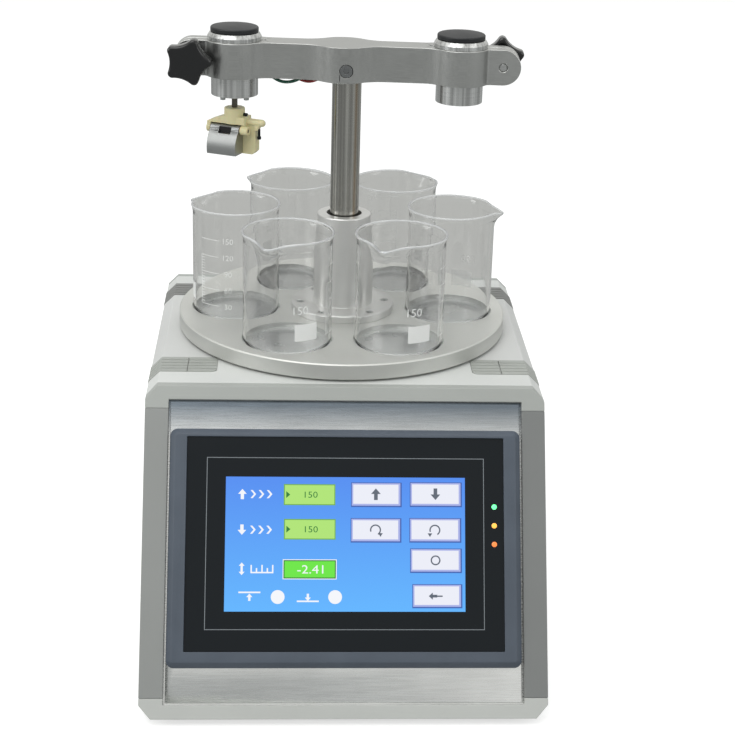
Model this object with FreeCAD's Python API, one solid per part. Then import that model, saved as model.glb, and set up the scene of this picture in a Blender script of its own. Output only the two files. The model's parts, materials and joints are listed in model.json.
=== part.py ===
import FreeCAD, Part
import math
import os

os.makedirs("parts", exist_ok=True)

# A six-place rotary dip coater. Millimetres and degrees. The origin is on the floor under the middle of the
# footprint, with X to the right, Y to the back and Z up.

# Case: a console with a front face that leans back, and a 45 degree chamfer along its four long edges.
CASE_WIDTH = 260.0
CASE_HEIGHT = 184.0
CASE_TOP_DEPTH = 228.0
CASE_BACK = 162.0
CASE_CHAMFER = 7.5
FRONT_LEAN = 30.0
FOOT_HEIGHT = 5.0
SHEET = 2.0
FRAME_DEPTH = 5.0

# Turntable, sleeve and beakers.
AXIS_Y = 57.0
DISC_RADIUS = 115.0
DISC_THICKNESS = 11.0
DISC_GAP = 1.3
PITCH_RADIUS = 75.5
TRAY_PHASE = -1.0
RECESS_RADIUS = 30.7
RECESS_DEPTH = 4.5
SLEEVE_RADIUS = 18.7
SLEEVE_HEIGHT = 69.8
SLEEVE_BORE = 12.2
FLANGE_RADIUS = 36.0
FLANGE_THICKNESS = 5.0
BEAKER_RADIUS = 30.0
BEAKER_HEIGHT = 80.0
BEAKER_WALL = 1.5
SPOUT_TURNS = (-3.0, 42.0, 155.0, 150.0, 247.0, 247.0)

# Lift, arm and heads.
COLUMN_RADIUS = 10.0
ARM_CLEARANCE = 164.7
ARM_HEIGHT = 24.1
ARM_WIDTH = 20.0
ARM_YAW = -3.7
HEAD_OFFSET = 76.5
HEAD_RADIUS = 16.0
RING_RADIUS = 20.0
EAR_REACH = 28.9
EAR_WIDTH = 16.0
CLAMP_SLOT = 1.6
CLAMP_TURN = -24.0
LIFT_DOWN = 65.0

# Running clearance of a shaft in its bore, on the radius.
RUNNING = 0.05

CASE_BOTTOM = FOOT_HEIGHT
CASE_TOP = CASE_BOTTOM + CASE_HEIGHT
LEAN_RUN = CASE_HEIGHT * math.tan(math.radians(FRONT_LEAN))
TOP_FRONT = CASE_BACK - CASE_TOP_DEPTH
BOTTOM_FRONT = TOP_FRONT - LEAN_RUN
SLOPE_LENGTH = CASE_HEIGHT / math.cos(math.radians(FRONT_LEAN))
DISC_BOTTOM = CASE_TOP + DISC_GAP
DISC_TOP = DISC_BOTTOM + DISC_THICKNESS
RECESS_FLOOR = DISC_TOP - RECESS_DEPTH
ARM_BOTTOM = DISC_TOP + ARM_CLEARANCE
ARM_TOP = ARM_BOTTOM + ARM_HEIGHT
ARM_MIDDLE = (ARM_BOTTOM + ARM_TOP) / 2
FAR = 400.0


def vec(x, y, z):
    return FreeCAD.Vector(x, y, z)


def box(x0, x1, y0, y1, z0, z1):
    return Part.makeBox(x1 - x0, y1 - y0, z1 - z0, vec(x0, y0, z0))


def rod(x, y, z0, z1, radius):
    return Part.makeCylinder(radius, z1 - z0, vec(x, y, z0))


def tube(x, y, z0, z1, outer, inner):
    return rod(x, y, z0, z1, outer).cut(rod(x, y, z0 - 1, z1 + 1, inner))


def rod_x(x0, x1, y, z, radius):
    return Part.makeCylinder(radius, x1 - x0, vec(x0, y, z), vec(1, 0, 0))


def rod_y(x, y0, y1, z, radius):
    return Part.makeCylinder(radius, y1 - y0, vec(x, y0, z), vec(0, 1, 0))


def prism_xz(points, y0, y1):
    corners = [vec(x, y0, z) for x, z in points]
    return Part.Face(Part.makePolygon(corners + corners[:1])).extrude(vec(0, y1 - y0, 0))


def prism_yz(points, x0, x1):
    corners = [vec(x0, y, z) for y, z in points]
    return Part.Face(Part.makePolygon(corners + corners[:1])).extrude(vec(x1 - x0, 0, 0))


def prism_xy(points, z0, z1):
    corners = [vec(x, y, z0) for x, y in points]
    return Part.Face(Part.makePolygon(corners + corners[:1])).extrude(vec(0, 0, z1 - z0))


def joined(first, *others):
    return first.multiFuse(list(others)).removeSplitter()


def rounded_box(x0, x1, y0, y1, z0, z1, radius, along):
    """A box with the four edges that run along one axis rounded."""
    solid = box(x0, x1, y0, y1, z0, z1)
    edges = [edge for edge in solid.Edges if abs(edge.tangentAt(edge.FirstParameter).dot(along)) > 0.99]
    return solid.makeFillet(radius, edges)


def hex_hole(x, y, z0, z1, radius):
    corners = [(x + radius * math.cos(math.radians(60 * k)), y + radius * math.sin(math.radians(60 * k)))
               for k in range(6)]
    return prism_xy(corners, z0, z1)


def on_front(shape):
    """From the flat front frame, X across, Y inwards, Z up the slope, to the leaning front face."""
    moved = shape.copy()
    moved.rotate(vec(0, 0, 0), vec(1, 0, 0), -FRONT_LEAN)
    moved.translate(vec(0, BOTTOM_FRONT, CASE_BOTTOM))
    return moved


def on_arm(shape):
    """From the arm's frame, X along the arm and the column at the origin, to the part's frame."""
    moved = shape.copy()
    moved.rotate(vec(0, 0, 0), vec(0, 0, 1), ARM_YAW)
    moved.translate(vec(0, AXIS_Y, 0))
    return moved


def on_spindle(shape):
    """From the clamp's frame, with the spindle at the origin, to the part's frame."""
    moved = shape.copy()
    moved.rotate(vec(0, 0, 0), vec(0, 0, 1), CLAMP_TURN - ARM_YAW)
    moved.translate(vec(-HEAD_OFFSET, 0, 0))
    return on_arm(moved)


def save(node, *solids):
    shape = solids[0] if len(solids) == 1 else Part.makeCompound(list(solids))
    shape.exportStep("parts/" + node + ".step")


# Case sections

def case_section(inset):
    """The case's chamfered outline, set in all round, as a long bar along Y."""
    half = CASE_WIDTH / 2 - inset
    low = CASE_BOTTOM + inset
    high = CASE_TOP - inset
    cut = CASE_CHAMFER - inset * (2 - math.sqrt(2))
    points = [(-half + cut, low), (half - cut, low), (half, low + cut), (half, high - cut),
              (half - cut, high), (-half + cut, high), (-half, high - cut), (-half, low + cut)]
    return prism_xz(points, -FAR, FAR)


def behind_front(depth):
    return on_front(box(-FAR, FAR, depth, FAR * 2, -FAR, FAR))


CASE_SOLID = case_section(0)
CASE_LENGTH = behind_front(FRAME_DEPTH).common(box(-FAR, FAR, -FAR, CASE_BACK - FRAME_DEPTH, 0, FAR))
CASE_SHELL = CASE_SOLID.cut(case_section(SHEET)).common(CASE_LENGTH)

SKIRT = 12.0
COVER_EDGE = CASE_TOP - CASE_CHAMFER - SKIRT
TRAY_EDGE = CASE_BOTTOM + CASE_CHAMFER + SKIRT
BAND_LENGTH = 50.7
REAR_BAND_LENGTH = 49.0
FRONT_BAND_END = TOP_FRONT + BAND_LENGTH
REAR_BAND_START = CASE_BACK - REAR_BAND_LENGTH

# Base tray: the folded sheet under the machine, with its chamfered long edges and short side walls.
save("base_tray", CASE_SHELL.common(box(-FAR, FAR, -FAR, FAR, 0, TRAY_EDGE)))

# Feet: four tapered rubber feet, set in from the case's edges by one distance.
FOOT_RADIUS = 9.0
FOOT_TAPER = 1.0
FOOT_SET_IN = 25.0
FOOT_X = CASE_WIDTH / 2 - FOOT_SET_IN
FOOT_PLACES = [(x, y) for x in (-FOOT_X, FOOT_X) for y in (BOTTOM_FRONT + FOOT_SET_IN, CASE_BACK - FOOT_SET_IN)]
save("rubber_feet", *[Part.makeCone(FOOT_RADIUS - FOOT_TAPER, FOOT_RADIUS, FOOT_HEIGHT, vec(x, y, 0))
                      for x, y in FOOT_PLACES])

# Side panels: flat sheets between the base tray and the cover, with a row of slots near the back.
SLOT_COUNT = 8
SLOT_PITCH = 9.0
SLOT_WIDTH = 3.0
SLOT_BACK = CASE_BACK - 22.0
SLOT_LOW = CASE_BOTTOM + 55.0
SLOT_HIGH = SLOT_LOW + 50.0
for side, name in ((-1, "left"), (1, "right")):
    half = CASE_WIDTH / 2
    reach = sorted((side * (half - SHEET - 1), side * (half + 1)))
    panel = CASE_SHELL.common(box(reach[0], reach[1], -FAR, FAR, TRAY_EDGE, COVER_EDGE))
    slots = [box(reach[0], reach[1], SLOT_BACK - SLOT_PITCH * k - SLOT_WIDTH, SLOT_BACK - SLOT_PITCH * k,
                 SLOT_LOW, SLOT_HIGH) for k in range(SLOT_COUNT)]
    save("side_panel_" + name, panel.cut(Part.makeCompound(slots)))

# Corner inserts: grey ribbed pieces that fill a notch in each end of the two bands and wrap over the chamfer.
INSERT_REACH = 44.8
INSERT_LENGTH = 25.7
INSERT_SPLIT_IN = 25.5
INSERT_PROUD = 0.3
INSERT_DROP = 6.0
INSERT_INNER = CASE_WIDTH / 2 - INSERT_REACH
INSERT_SPLIT = CASE_WIDTH / 2 - INSERT_SPLIT_IN
INSERT_LOW = CASE_TOP - CASE_CHAMFER - INSERT_DROP
INSERT_ROUND = 4.0
RIB_COUNT = 4
RIB_GROOVE = 0.9
RIB_DEPTH = 0.6
SPLIT_GROOVE = 0.6


def insert_space(side, y0, grow):
    """The upright block that one insert fills, grown on its inner end and along Y."""
    inner = side * (INSERT_INNER - grow)
    outer = side * (CASE_WIDTH / 2 + 5)
    middle = side * (INSERT_INNER + INSERT_ROUND)
    across = sorted((middle, outer))
    end = sorted((inner, middle))
    y1 = y0 + INSERT_LENGTH + grow
    y0 = y0 - grow
    corners = [rod(middle, y, INSERT_LOW - grow, FAR, INSERT_ROUND + grow)
               for y in (y0 + INSERT_ROUND + grow, y1 - INSERT_ROUND - grow)]
    return joined(box(across[0], across[1], y0, y1, INSERT_LOW - grow, FAR),
                  box(end[0], end[1], y0 + INSERT_ROUND + grow, y1 - INSERT_ROUND - grow,
                      INSERT_LOW - grow, FAR), *corners)


INSERT_SHELL = case_section(-INSERT_PROUD).cut(case_section(SHEET))
GROOVE_SHELL = case_section(-1).cut(case_section(RIB_DEPTH - INSERT_PROUD))


def ribbed_insert(side, y0):
    solid = INSERT_SHELL.common(insert_space(side, y0, 0))
    for k in range(RIB_COUNT):
        y = y0 + INSERT_LENGTH * (k + 1) / (RIB_COUNT + 1)
        groove = box(-FAR, FAR, y - RIB_GROOVE / 2, y + RIB_GROOVE / 2, 0, FAR).common(GROOVE_SHELL)
        solid = solid.cut(groove)
    split = side * INSERT_SPLIT
    return solid.cut(box(split - SPLIT_GROOVE / 2, split + SPLIT_GROOVE / 2, y0 - 1, y0 + INSERT_LENGTH + 1,
                         CASE_TOP - RIB_DEPTH, FAR))


FRONT_INSERT_Y = TOP_FRONT + BAND_LENGTH - INSERT_LENGTH
save("inserts_front", ribbed_insert(-1, FRONT_INSERT_Y), ribbed_insert(1, FRONT_INSERT_Y))
save("inserts_rear", ribbed_insert(-1, REAR_BAND_START), ribbed_insert(1, REAR_BAND_START))

# Top: a front band and a rear band that hold the inserts, and the flat cover between them.
TOP_SHELL = CASE_SHELL.common(box(-FAR, FAR, -FAR, FAR, COVER_EDGE, FAR))
HUB_HOLE = 20.0
front_notches = Part.makeCompound([insert_space(side, FRONT_INSERT_Y, 0) for side in (-1, 1)])
rear_notches = Part.makeCompound([insert_space(side, REAR_BAND_START, 0) for side in (-1, 1)])
save("top_band_front", TOP_SHELL.common(box(-FAR, FAR, -FAR, FRONT_BAND_END, 0, FAR)).cut(front_notches))
save("top_band_rear", TOP_SHELL.common(box(-FAR, FAR, REAR_BAND_START, FAR, 0, FAR)).cut(rear_notches))
cover = TOP_SHELL.common(box(-FAR, FAR, FRONT_BAND_END, REAR_BAND_START, 0, FAR))
save("top_cover", cover.cut(rod(0, AXIS_Y, CASE_TOP - 10, CASE_TOP + 10, HUB_HOLE)))

# Front frame: two rails and two posts in the plane of the front face, with the rails wrapping the corners.
GLASS_HALF_WIDTH = 102.0
GLASS_HALF_HEIGHT = 68.3
BEZEL_SIDE = 11.4
BEZEL_END = 8.0
BEZEL_EASE = 1.4
BEZEL_HALF_WIDTH = GLASS_HALF_WIDTH + BEZEL_SIDE
BEZEL_HALF_HEIGHT = GLASS_HALF_HEIGHT + BEZEL_END
OPENING_MARGIN = 9.0
OPENING_HALF = BEZEL_HALF_WIDTH + BEZEL_EASE
OPENING_LOW = OPENING_MARGIN
OPENING_HIGH = SLOPE_LENGTH - OPENING_MARGIN
TOP_RAIL_LAP = 5.8
BOTTOM_RAIL_LAP = 4.2
TOP_RAIL_JOINT = OPENING_HIGH - TOP_RAIL_LAP
BOTTOM_RAIL_JOINT = OPENING_LOW + BOTTOM_RAIL_LAP
frame = on_front(box(-FAR, FAR, 0, FRAME_DEPTH, -50, FAR)).common(CASE_SOLID)
frame = frame.cut(on_front(box(-OPENING_HALF, OPENING_HALF, -1, FRAME_DEPTH + 1, OPENING_LOW, OPENING_HIGH)))
save("front_top_rail", frame.common(on_front(box(-FAR, FAR, -1, 9, TOP_RAIL_JOINT, FAR))))
save("front_bottom_rail", frame.common(on_front(box(-FAR, FAR, -1, 9, -50, BOTTOM_RAIL_JOINT))))
save("front_left_post", frame.common(on_front(box(-FAR, 0, -1, 9, BOTTOM_RAIL_JOINT, TOP_RAIL_JOINT))))
save("front_right_post", frame.common(on_front(box(0, FAR, -1, 9, BOTTOM_RAIL_JOINT, TOP_RAIL_JOINT))))

# Front panel: an aluminium plate recessed in the frame, with a flange behind the rails and posts.
PANEL_RECESS = 3.0
PANEL_GAP = 1.3
PANEL_BACK = FRAME_DEPTH + SHEET
DISPLAY_RISE = 2.1
DISPLAY_MIDDLE = (OPENING_LOW + OPENING_HIGH) / 2 + DISPLAY_RISE
CUTOUT_SIDE = 6.4
CUTOUT_END = 5.3
CUTOUT_HALF_WIDTH = BEZEL_HALF_WIDTH - CUTOUT_SIDE
CUTOUT_HALF_HEIGHT = BEZEL_HALF_HEIGHT - CUTOUT_END
PANEL_EDGE = (OPENING_HALF + CASE_WIDTH / 2 - SHEET) / 2
PANEL_LAP_LOW = 2.0
PANEL_LAP_HIGH = 3.0
panel = joined(
    box(-OPENING_HALF + PANEL_GAP, OPENING_HALF - PANEL_GAP, PANEL_RECESS, PANEL_BACK,
        OPENING_LOW + PANEL_GAP, OPENING_HIGH - PANEL_GAP),
    box(-PANEL_EDGE, PANEL_EDGE, FRAME_DEPTH, PANEL_BACK, OPENING_LOW - PANEL_LAP_LOW,
        OPENING_HIGH + PANEL_LAP_HIGH))
panel = panel.cut(box(-CUTOUT_HALF_WIDTH, CUTOUT_HALF_WIDTH, 0, 10,
                      DISPLAY_MIDDLE - CUTOUT_HALF_HEIGHT, DISPLAY_MIDDLE + CUTOUT_HALF_HEIGHT))
save("front_panel", on_front(panel))

# Touch panel: a bezel with a wide bevel, a black printed glass round the colour display, three lamps, the
# case behind it and the clips that hold it to the front panel.
BEZEL_PROUD = 3.0
BEZEL_ROUND = 5.0
BEZEL_BEVEL = 3.5
GLASS_RISE = 2.4
GLASS_MIDDLE = DISPLAY_MIDDLE + GLASS_RISE
GLASS_FRONT = -1.8
GLASS_BACK = 0.2
GLASS_GAP = 0.2
SCREEN_HALF_WIDTH = 77.04
SCREEN_HALF_HEIGHT = 42.96
SCREEN_MIDDLE = GLASS_MIDDLE - 0.2
SCREEN_SINK = 0.2
LAMP_EDGE = 6.0
LAMP_PITCH = 12.05
LAMP_X = GLASS_HALF_WIDTH - LAMP_EDGE
LAMP_PLACES = [SCREEN_MIDDLE + LAMP_PITCH * k for k in range(3)]
LAMP_RADIUS = 1.7
LAMP_PROUD = 0.1
DISPLAY_DEPTH = 33.0
CUTOUT_EASE = 0.5

ALONG_Y = vec(0, 1, 0)
ALONG_Z = vec(0, 0, 1)
bezel = rounded_box(-BEZEL_HALF_WIDTH, BEZEL_HALF_WIDTH, -BEZEL_PROUD, PANEL_RECESS,
                    DISPLAY_MIDDLE - BEZEL_HALF_HEIGHT, DISPLAY_MIDDLE + BEZEL_HALF_HEIGHT,
                    BEZEL_ROUND, ALONG_Y)
front_edges = [edge for edge in bezel.Edges
               if all(abs(vertex.Y + BEZEL_PROUD) < 0.01 for vertex in edge.Vertexes)]
bezel = bezel.makeChamfer(BEZEL_BEVEL, front_edges)
glass_hole = box(-GLASS_HALF_WIDTH - GLASS_GAP, GLASS_HALF_WIDTH + GLASS_GAP, -9, 9,
                 GLASS_MIDDLE - GLASS_HALF_HEIGHT - GLASS_GAP, GLASS_MIDDLE + GLASS_HALF_HEIGHT + GLASS_GAP)
save("display_bezel", on_front(bezel.cut(glass_hole)))
screen = box(-SCREEN_HALF_WIDTH, SCREEN_HALF_WIDTH, GLASS_FRONT + SCREEN_SINK, GLASS_BACK,
             SCREEN_MIDDLE - SCREEN_HALF_HEIGHT, SCREEN_MIDDLE + SCREEN_HALF_HEIGHT)
lamps = [rod_y(LAMP_X, GLASS_FRONT - LAMP_PROUD, GLASS_BACK, z, LAMP_RADIUS) for z in LAMP_PLACES]
glass = box(-GLASS_HALF_WIDTH, GLASS_HALF_WIDTH, GLASS_FRONT, GLASS_BACK,
            GLASS_MIDDLE - GLASS_HALF_HEIGHT, GLASS_MIDDLE + GLASS_HALF_HEIGHT)
glass = glass.cut(Part.makeCompound([rod_y(LAMP_X, -9, 9, z, LAMP_RADIUS) for z in LAMP_PLACES]))
glass = glass.cut(box(-SCREEN_HALF_WIDTH, SCREEN_HALF_WIDTH, -9, 9,
                      SCREEN_MIDDLE - SCREEN_HALF_HEIGHT, SCREEN_MIDDLE + SCREEN_HALF_HEIGHT))
save("display_glass", on_front(glass))
save("display_screen", on_front(screen))
save("status_lamps", *[on_front(lamp) for lamp in lamps])
rear_case = joined(
    box(-GLASS_HALF_WIDTH, GLASS_HALF_WIDTH, GLASS_BACK, PANEL_RECESS,
        GLASS_MIDDLE - GLASS_HALF_HEIGHT, GLASS_MIDDLE + GLASS_HALF_HEIGHT),
    box(-CUTOUT_HALF_WIDTH + CUTOUT_EASE, CUTOUT_HALF_WIDTH - CUTOUT_EASE, PANEL_RECESS, DISPLAY_DEPTH,
        DISPLAY_MIDDLE - CUTOUT_HALF_HEIGHT + CUTOUT_EASE, DISPLAY_MIDDLE + CUTOUT_HALF_HEIGHT - CUTOUT_EASE))
CLIP_HALF = 6.0
CLIP_HEIGHT = 7.0
CLIP_DEPTH = 14.0
CLIP_X = GLASS_HALF_WIDTH * 0.7
clips = []
for x in (-CLIP_X, CLIP_X):
    for end in (-1, 1):
        edge = DISPLAY_MIDDLE + end * (CUTOUT_HALF_HEIGHT - CUTOUT_EASE)
        low, high = sorted((edge, edge + end * CLIP_HEIGHT))
        clips.append(on_front(box(x - CLIP_HALF, x + CLIP_HALF, PANEL_BACK, PANEL_BACK + CLIP_DEPTH, low, high)))
save("display_case", on_front(rear_case), *clips)

# Rear frame and rear panel, with the cut-outs for the mains inlet and the switch, and the panel's screws.
REAR_POST = 14.0
REAR_OPENING_HALF = CASE_WIDTH / 2 - REAR_POST
REAR_BAR = 13.0
REAR_PANEL_EASE = 3.0
REAR_PANEL_LAP = 7.0
INLET_SET_IN = 52.0
SWITCH_PITCH = 40.0
INLET_RISE = 39.0
INLET_X = -CASE_WIDTH / 2 + INLET_SET_IN
INLET_Z = CASE_BOTTOM + INLET_RISE
INLET_HALF_WIDTH = 14.0
INLET_HALF_HEIGHT = 10.5
SWITCH_X = INLET_X + SWITCH_PITCH
SWITCH_HALF_WIDTH = 7.0
SWITCH_HALF_HEIGHT = 10.5
rear = CASE_SOLID.common(box(-FAR, FAR, CASE_BACK - FRAME_DEPTH, CASE_BACK, 0, FAR))
save("rear_frame", rear.cut(box(-REAR_OPENING_HALF, REAR_OPENING_HALF, CASE_BACK - 10, CASE_BACK + 1,
                                CASE_BOTTOM + REAR_BAR, CASE_TOP - REAR_BAR)))
REAR_PANEL_FACE = CASE_BACK - FRAME_DEPTH
rear_panel = box(-CASE_WIDTH / 2 + REAR_PANEL_EASE, CASE_WIDTH / 2 - REAR_PANEL_EASE,
                 REAR_PANEL_FACE - SHEET, REAR_PANEL_FACE,
                 CASE_BOTTOM + REAR_BAR - REAR_PANEL_LAP, CASE_TOP - REAR_BAR + REAR_PANEL_LAP)
rear_panel = rear_panel.cut(Part.makeCompound([
    box(INLET_X - INLET_HALF_WIDTH, INLET_X + INLET_HALF_WIDTH, CASE_BACK - 60, FAR,
        INLET_Z - INLET_HALF_HEIGHT, INLET_Z + INLET_HALF_HEIGHT),
    box(SWITCH_X - SWITCH_HALF_WIDTH, SWITCH_X + SWITCH_HALF_WIDTH, CASE_BACK - 60, FAR,
        INLET_Z - SWITCH_HALF_HEIGHT, INLET_Z + SWITCH_HALF_HEIGHT)]))
REAR_SLOT_X = CASE_WIDTH / 2 - 110.0
REAR_SLOT_HIGH = CASE_TOP - 39.0
REAR_SLOT_LOW = REAR_SLOT_HIGH - 40.0
rear_slots = [box(REAR_SLOT_X + SLOT_PITCH * k, REAR_SLOT_X + SLOT_PITCH * k + SLOT_WIDTH, CASE_BACK - 60, FAR,
                  REAR_SLOT_LOW, REAR_SLOT_HIGH) for k in range(SLOT_COUNT)]
rear_panel = rear_panel.common(CASE_SOLID.common(case_section(SHEET)))
save("rear_panel", rear_panel.cut(Part.makeCompound(rear_slots)))
SCREW_HEAD = 3.0
SCREW_HEAD_HEIGHT = 1.6
DRIVER_SLOT = 0.8
DRIVER_SLOT_FLOOR = 0.7
SCREW_SET_IN = 7.0
SCREW_END = 25.0
SCREW_X = CASE_WIDTH / 2 - SCREW_SET_IN
SCREW_HEIGHTS = (CASE_BOTTOM + SCREW_END, (CASE_BOTTOM + CASE_TOP) / 2, CASE_TOP - SCREW_END)
panel_screws = [rod_y(x, CASE_BACK, CASE_BACK + SCREW_HEAD_HEIGHT, z, SCREW_HEAD).cut(
                    box(x - DRIVER_SLOT / 2, x + DRIVER_SLOT / 2, CASE_BACK + DRIVER_SLOT_FLOOR, FAR,
                        z - SCREW_HEAD + 1, z + SCREW_HEAD - 1))
                for x in (-SCREW_X, SCREW_X) for z in SCREW_HEIGHTS]
save("panel_screws", *panel_screws)

# Mains inlet: a flanged body with a six-sided socket and three blades. The switch body has a rocker in it.
FLANGE_PROUD = 2.5
INLET_FLANGE_WIDTH = 24.0
INLET_FLANGE_HEIGHT = 15.0
INLET_DEPTH = 22.0
SOCKET_HALF_WIDTH = 12.0
SOCKET_HALF_HEIGHT = 8.5
SOCKET_DEPTH = 16.0
INLET_CORNER = 4.0
inlet_back = REAR_PANEL_FACE - INLET_DEPTH
inlet = joined(
    box(INLET_X - INLET_HALF_WIDTH, INLET_X + INLET_HALF_WIDTH, inlet_back, REAR_PANEL_FACE,
        INLET_Z - INLET_HALF_HEIGHT, INLET_Z + INLET_HALF_HEIGHT),
    rounded_box(INLET_X - INLET_FLANGE_WIDTH, INLET_X + INLET_FLANGE_WIDTH, REAR_PANEL_FACE,
                REAR_PANEL_FACE + FLANGE_PROUD, INLET_Z - INLET_FLANGE_HEIGHT,
                INLET_Z + INLET_FLANGE_HEIGHT, INLET_CORNER, ALONG_Y))
socket_floor = REAR_PANEL_FACE + FLANGE_PROUD - SOCKET_DEPTH
socket = prism_xz([(INLET_X - SOCKET_HALF_WIDTH, INLET_Z - SOCKET_HALF_HEIGHT),
                   (INLET_X + SOCKET_HALF_WIDTH, INLET_Z - SOCKET_HALF_HEIGHT),
                   (INLET_X + SOCKET_HALF_WIDTH, INLET_Z + SOCKET_HALF_HEIGHT - INLET_CORNER),
                   (INLET_X + SOCKET_HALF_WIDTH - INLET_CORNER, INLET_Z + SOCKET_HALF_HEIGHT),
                   (INLET_X - SOCKET_HALF_WIDTH + INLET_CORNER, INLET_Z + SOCKET_HALF_HEIGHT),
                   (INLET_X - SOCKET_HALF_WIDTH, INLET_Z + SOCKET_HALF_HEIGHT - INLET_CORNER)],
                  socket_floor, REAR_PANEL_FACE + FLANGE_PROUD + 1)
BLADE_HALF = 1.0
BLADE_TALL = 4.0
BLADE_LENGTH = 11.0
BLADE_PLACES = ((-7.0, -2.0), (0.0, 3.0), (7.0, -2.0))
blades = [box(INLET_X + x - BLADE_HALF, INLET_X + x + BLADE_HALF, socket_floor - 0.5, socket_floor + BLADE_LENGTH,
              INLET_Z + z - BLADE_TALL / 2, INLET_Z + z + BLADE_TALL / 2) for x, z in BLADE_PLACES]
inlet = joined(inlet.cut(socket), *blades)

ROCKER_HALF_WIDTH = 5.0
ROCKER_HALF_HEIGHT = 7.5
ROCKER_REST = 8.0
SWITCH_FLANGE = 2.0
SWITCH_LIP = 1.5
SWITCH_DEPTH = 18.0
ROCKER_GAP = 0.4
ROCKER_SWING = 1.2
ROCKER_WELL = 12.0
switch_front = REAR_PANEL_FACE + SWITCH_FLANGE
switch = joined(
    box(SWITCH_X - SWITCH_HALF_WIDTH, SWITCH_X + SWITCH_HALF_WIDTH, REAR_PANEL_FACE - SWITCH_DEPTH,
        REAR_PANEL_FACE, INLET_Z - SWITCH_HALF_HEIGHT, INLET_Z + SWITCH_HALF_HEIGHT),
    box(SWITCH_X - SWITCH_HALF_WIDTH - SWITCH_LIP, SWITCH_X + SWITCH_HALF_WIDTH + SWITCH_LIP, REAR_PANEL_FACE,
        switch_front, INLET_Z - SWITCH_HALF_HEIGHT - SWITCH_LIP, INLET_Z + SWITCH_HALF_HEIGHT + SWITCH_LIP))
switch = switch.cut(box(SWITCH_X - ROCKER_HALF_WIDTH - ROCKER_GAP, SWITCH_X + ROCKER_HALF_WIDTH + ROCKER_GAP,
                        REAR_PANEL_FACE - ROCKER_WELL, FAR, INLET_Z - ROCKER_HALF_HEIGHT - ROCKER_SWING,
                        INLET_Z + ROCKER_HALF_HEIGHT + ROCKER_SWING))
save("power_entry", inlet, switch)
ROCKER_PIN = 1.5
ROCKER_DEPTH = 3.0
ROCKER_FOOT = 4.0
ROCKER_EDGE = 1.8
rocker_pivot = REAR_PANEL_FACE - ROCKER_DEPTH
rocker_face = switch_front + 0.4
rocker = prism_yz([(rocker_pivot - ROCKER_FOOT, INLET_Z - 3), (rocker_pivot - ROCKER_FOOT, INLET_Z + 3),
                   (rocker_face - ROCKER_EDGE, INLET_Z + ROCKER_HALF_HEIGHT),
                   (rocker_face, INLET_Z + ROCKER_HALF_HEIGHT - 0.3), (rocker_face - 0.6, INLET_Z),
                   (rocker_face, INLET_Z - ROCKER_HALF_HEIGHT + 0.3),
                   (rocker_face - ROCKER_EDGE, INLET_Z - ROCKER_HALF_HEIGHT)],
                  SWITCH_X - ROCKER_HALF_WIDTH, SWITCH_X + ROCKER_HALF_WIDTH)
rocker = joined(rocker, rod_x(SWITCH_X - ROCKER_HALF_WIDTH - ROCKER_GAP, SWITCH_X + ROCKER_HALF_WIDTH + ROCKER_GAP,
                              rocker_pivot, INLET_Z, ROCKER_PIN))
rocker.rotate(vec(SWITCH_X, rocker_pivot, INLET_Z), vec(1, 0, 0), ROCKER_REST)
save("power_rocker", rocker)

# Lift frame: a base plate on the tray, a top plate under the turntable's gear, four pillars and two guide rods.
PLATE_THICKNESS = 5.0
BASE_PLATE_TOP = CASE_BOTTOM + SHEET + PLATE_THICKNESS
TOP_PLATE_DROP = 37.0
TOP_PLATE_LOW = CASE_TOP - TOP_PLATE_DROP
TOP_PLATE_HIGH = TOP_PLATE_LOW + PLATE_THICKNESS
PLATE_LEFT = -60.0
PLATE_RIGHT = 84.0
PLATE_FRONT_REACH = 36.0
PLATE_REAR_REACH = 50.0
PLATE_FRONT = AXIS_Y - PLATE_FRONT_REACH
PLATE_REAR = AXIS_Y + PLATE_REAR_REACH
SCREW_BEHIND = 30.0
GUIDES_BEHIND = 18.0
SCREW_Y = AXIS_Y + SCREW_BEHIND
SCREW_RADIUS = 4.0
GUIDE_X = 27.0
GUIDE_Y = AXIS_Y + GUIDES_BEHIND
GUIDE_RADIUS = 4.0
PILLAR_RADIUS = 4.0
PILLAR_SET_IN = 8.0
BUSHING_RADIUS = 14.0
BUSHING_FLANGE = 6.0
BUSHING_FLANGE_HEIGHT = 3.0
BUSHING_LENGTH = 13.0
BUSHING_TOP = TOP_PLATE_LOW + BUSHING_LENGTH
BEARING_RADIUS = 8.0
GEAR_MODULE = 1.5
GEAR_TEETH = 60
PINION_TEETH = 16
PRESSURE_ANGLE = 20.0
TOOTH_THINNING = 0.12
GEAR_DISTANCE = GEAR_MODULE * (GEAR_TEETH + PINION_TEETH) / 2
PINION_SHAFT = 3.0
PILLAR_PLACES = [(x, y) for x in (PLATE_LEFT + PILLAR_SET_IN, PLATE_RIGHT - PILLAR_SET_IN)
                 for y in (PLATE_FRONT + PILLAR_SET_IN, PLATE_REAR - PILLAR_SET_IN)]
base_plate = box(PLATE_LEFT, PLATE_RIGHT, PLATE_FRONT, PLATE_REAR, CASE_BOTTOM + SHEET, BASE_PLATE_TOP)
top_plate = box(PLATE_LEFT, PLATE_RIGHT, PLATE_FRONT, PLATE_REAR, TOP_PLATE_LOW, TOP_PLATE_HIGH)
for x, y, radius in ((0, AXIS_Y, BUSHING_RADIUS), (0, SCREW_Y, BEARING_RADIUS),
                     (GEAR_DISTANCE, AXIS_Y, PINION_SHAFT + 3)):
    top_plate = top_plate.cut(rod(x, y, 0, FAR, radius))
save("lift_plates", base_plate, top_plate)
pillars = [rod(x, y, BASE_PLATE_TOP, TOP_PLATE_LOW, PILLAR_RADIUS) for x, y in PILLAR_PLACES]
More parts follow.
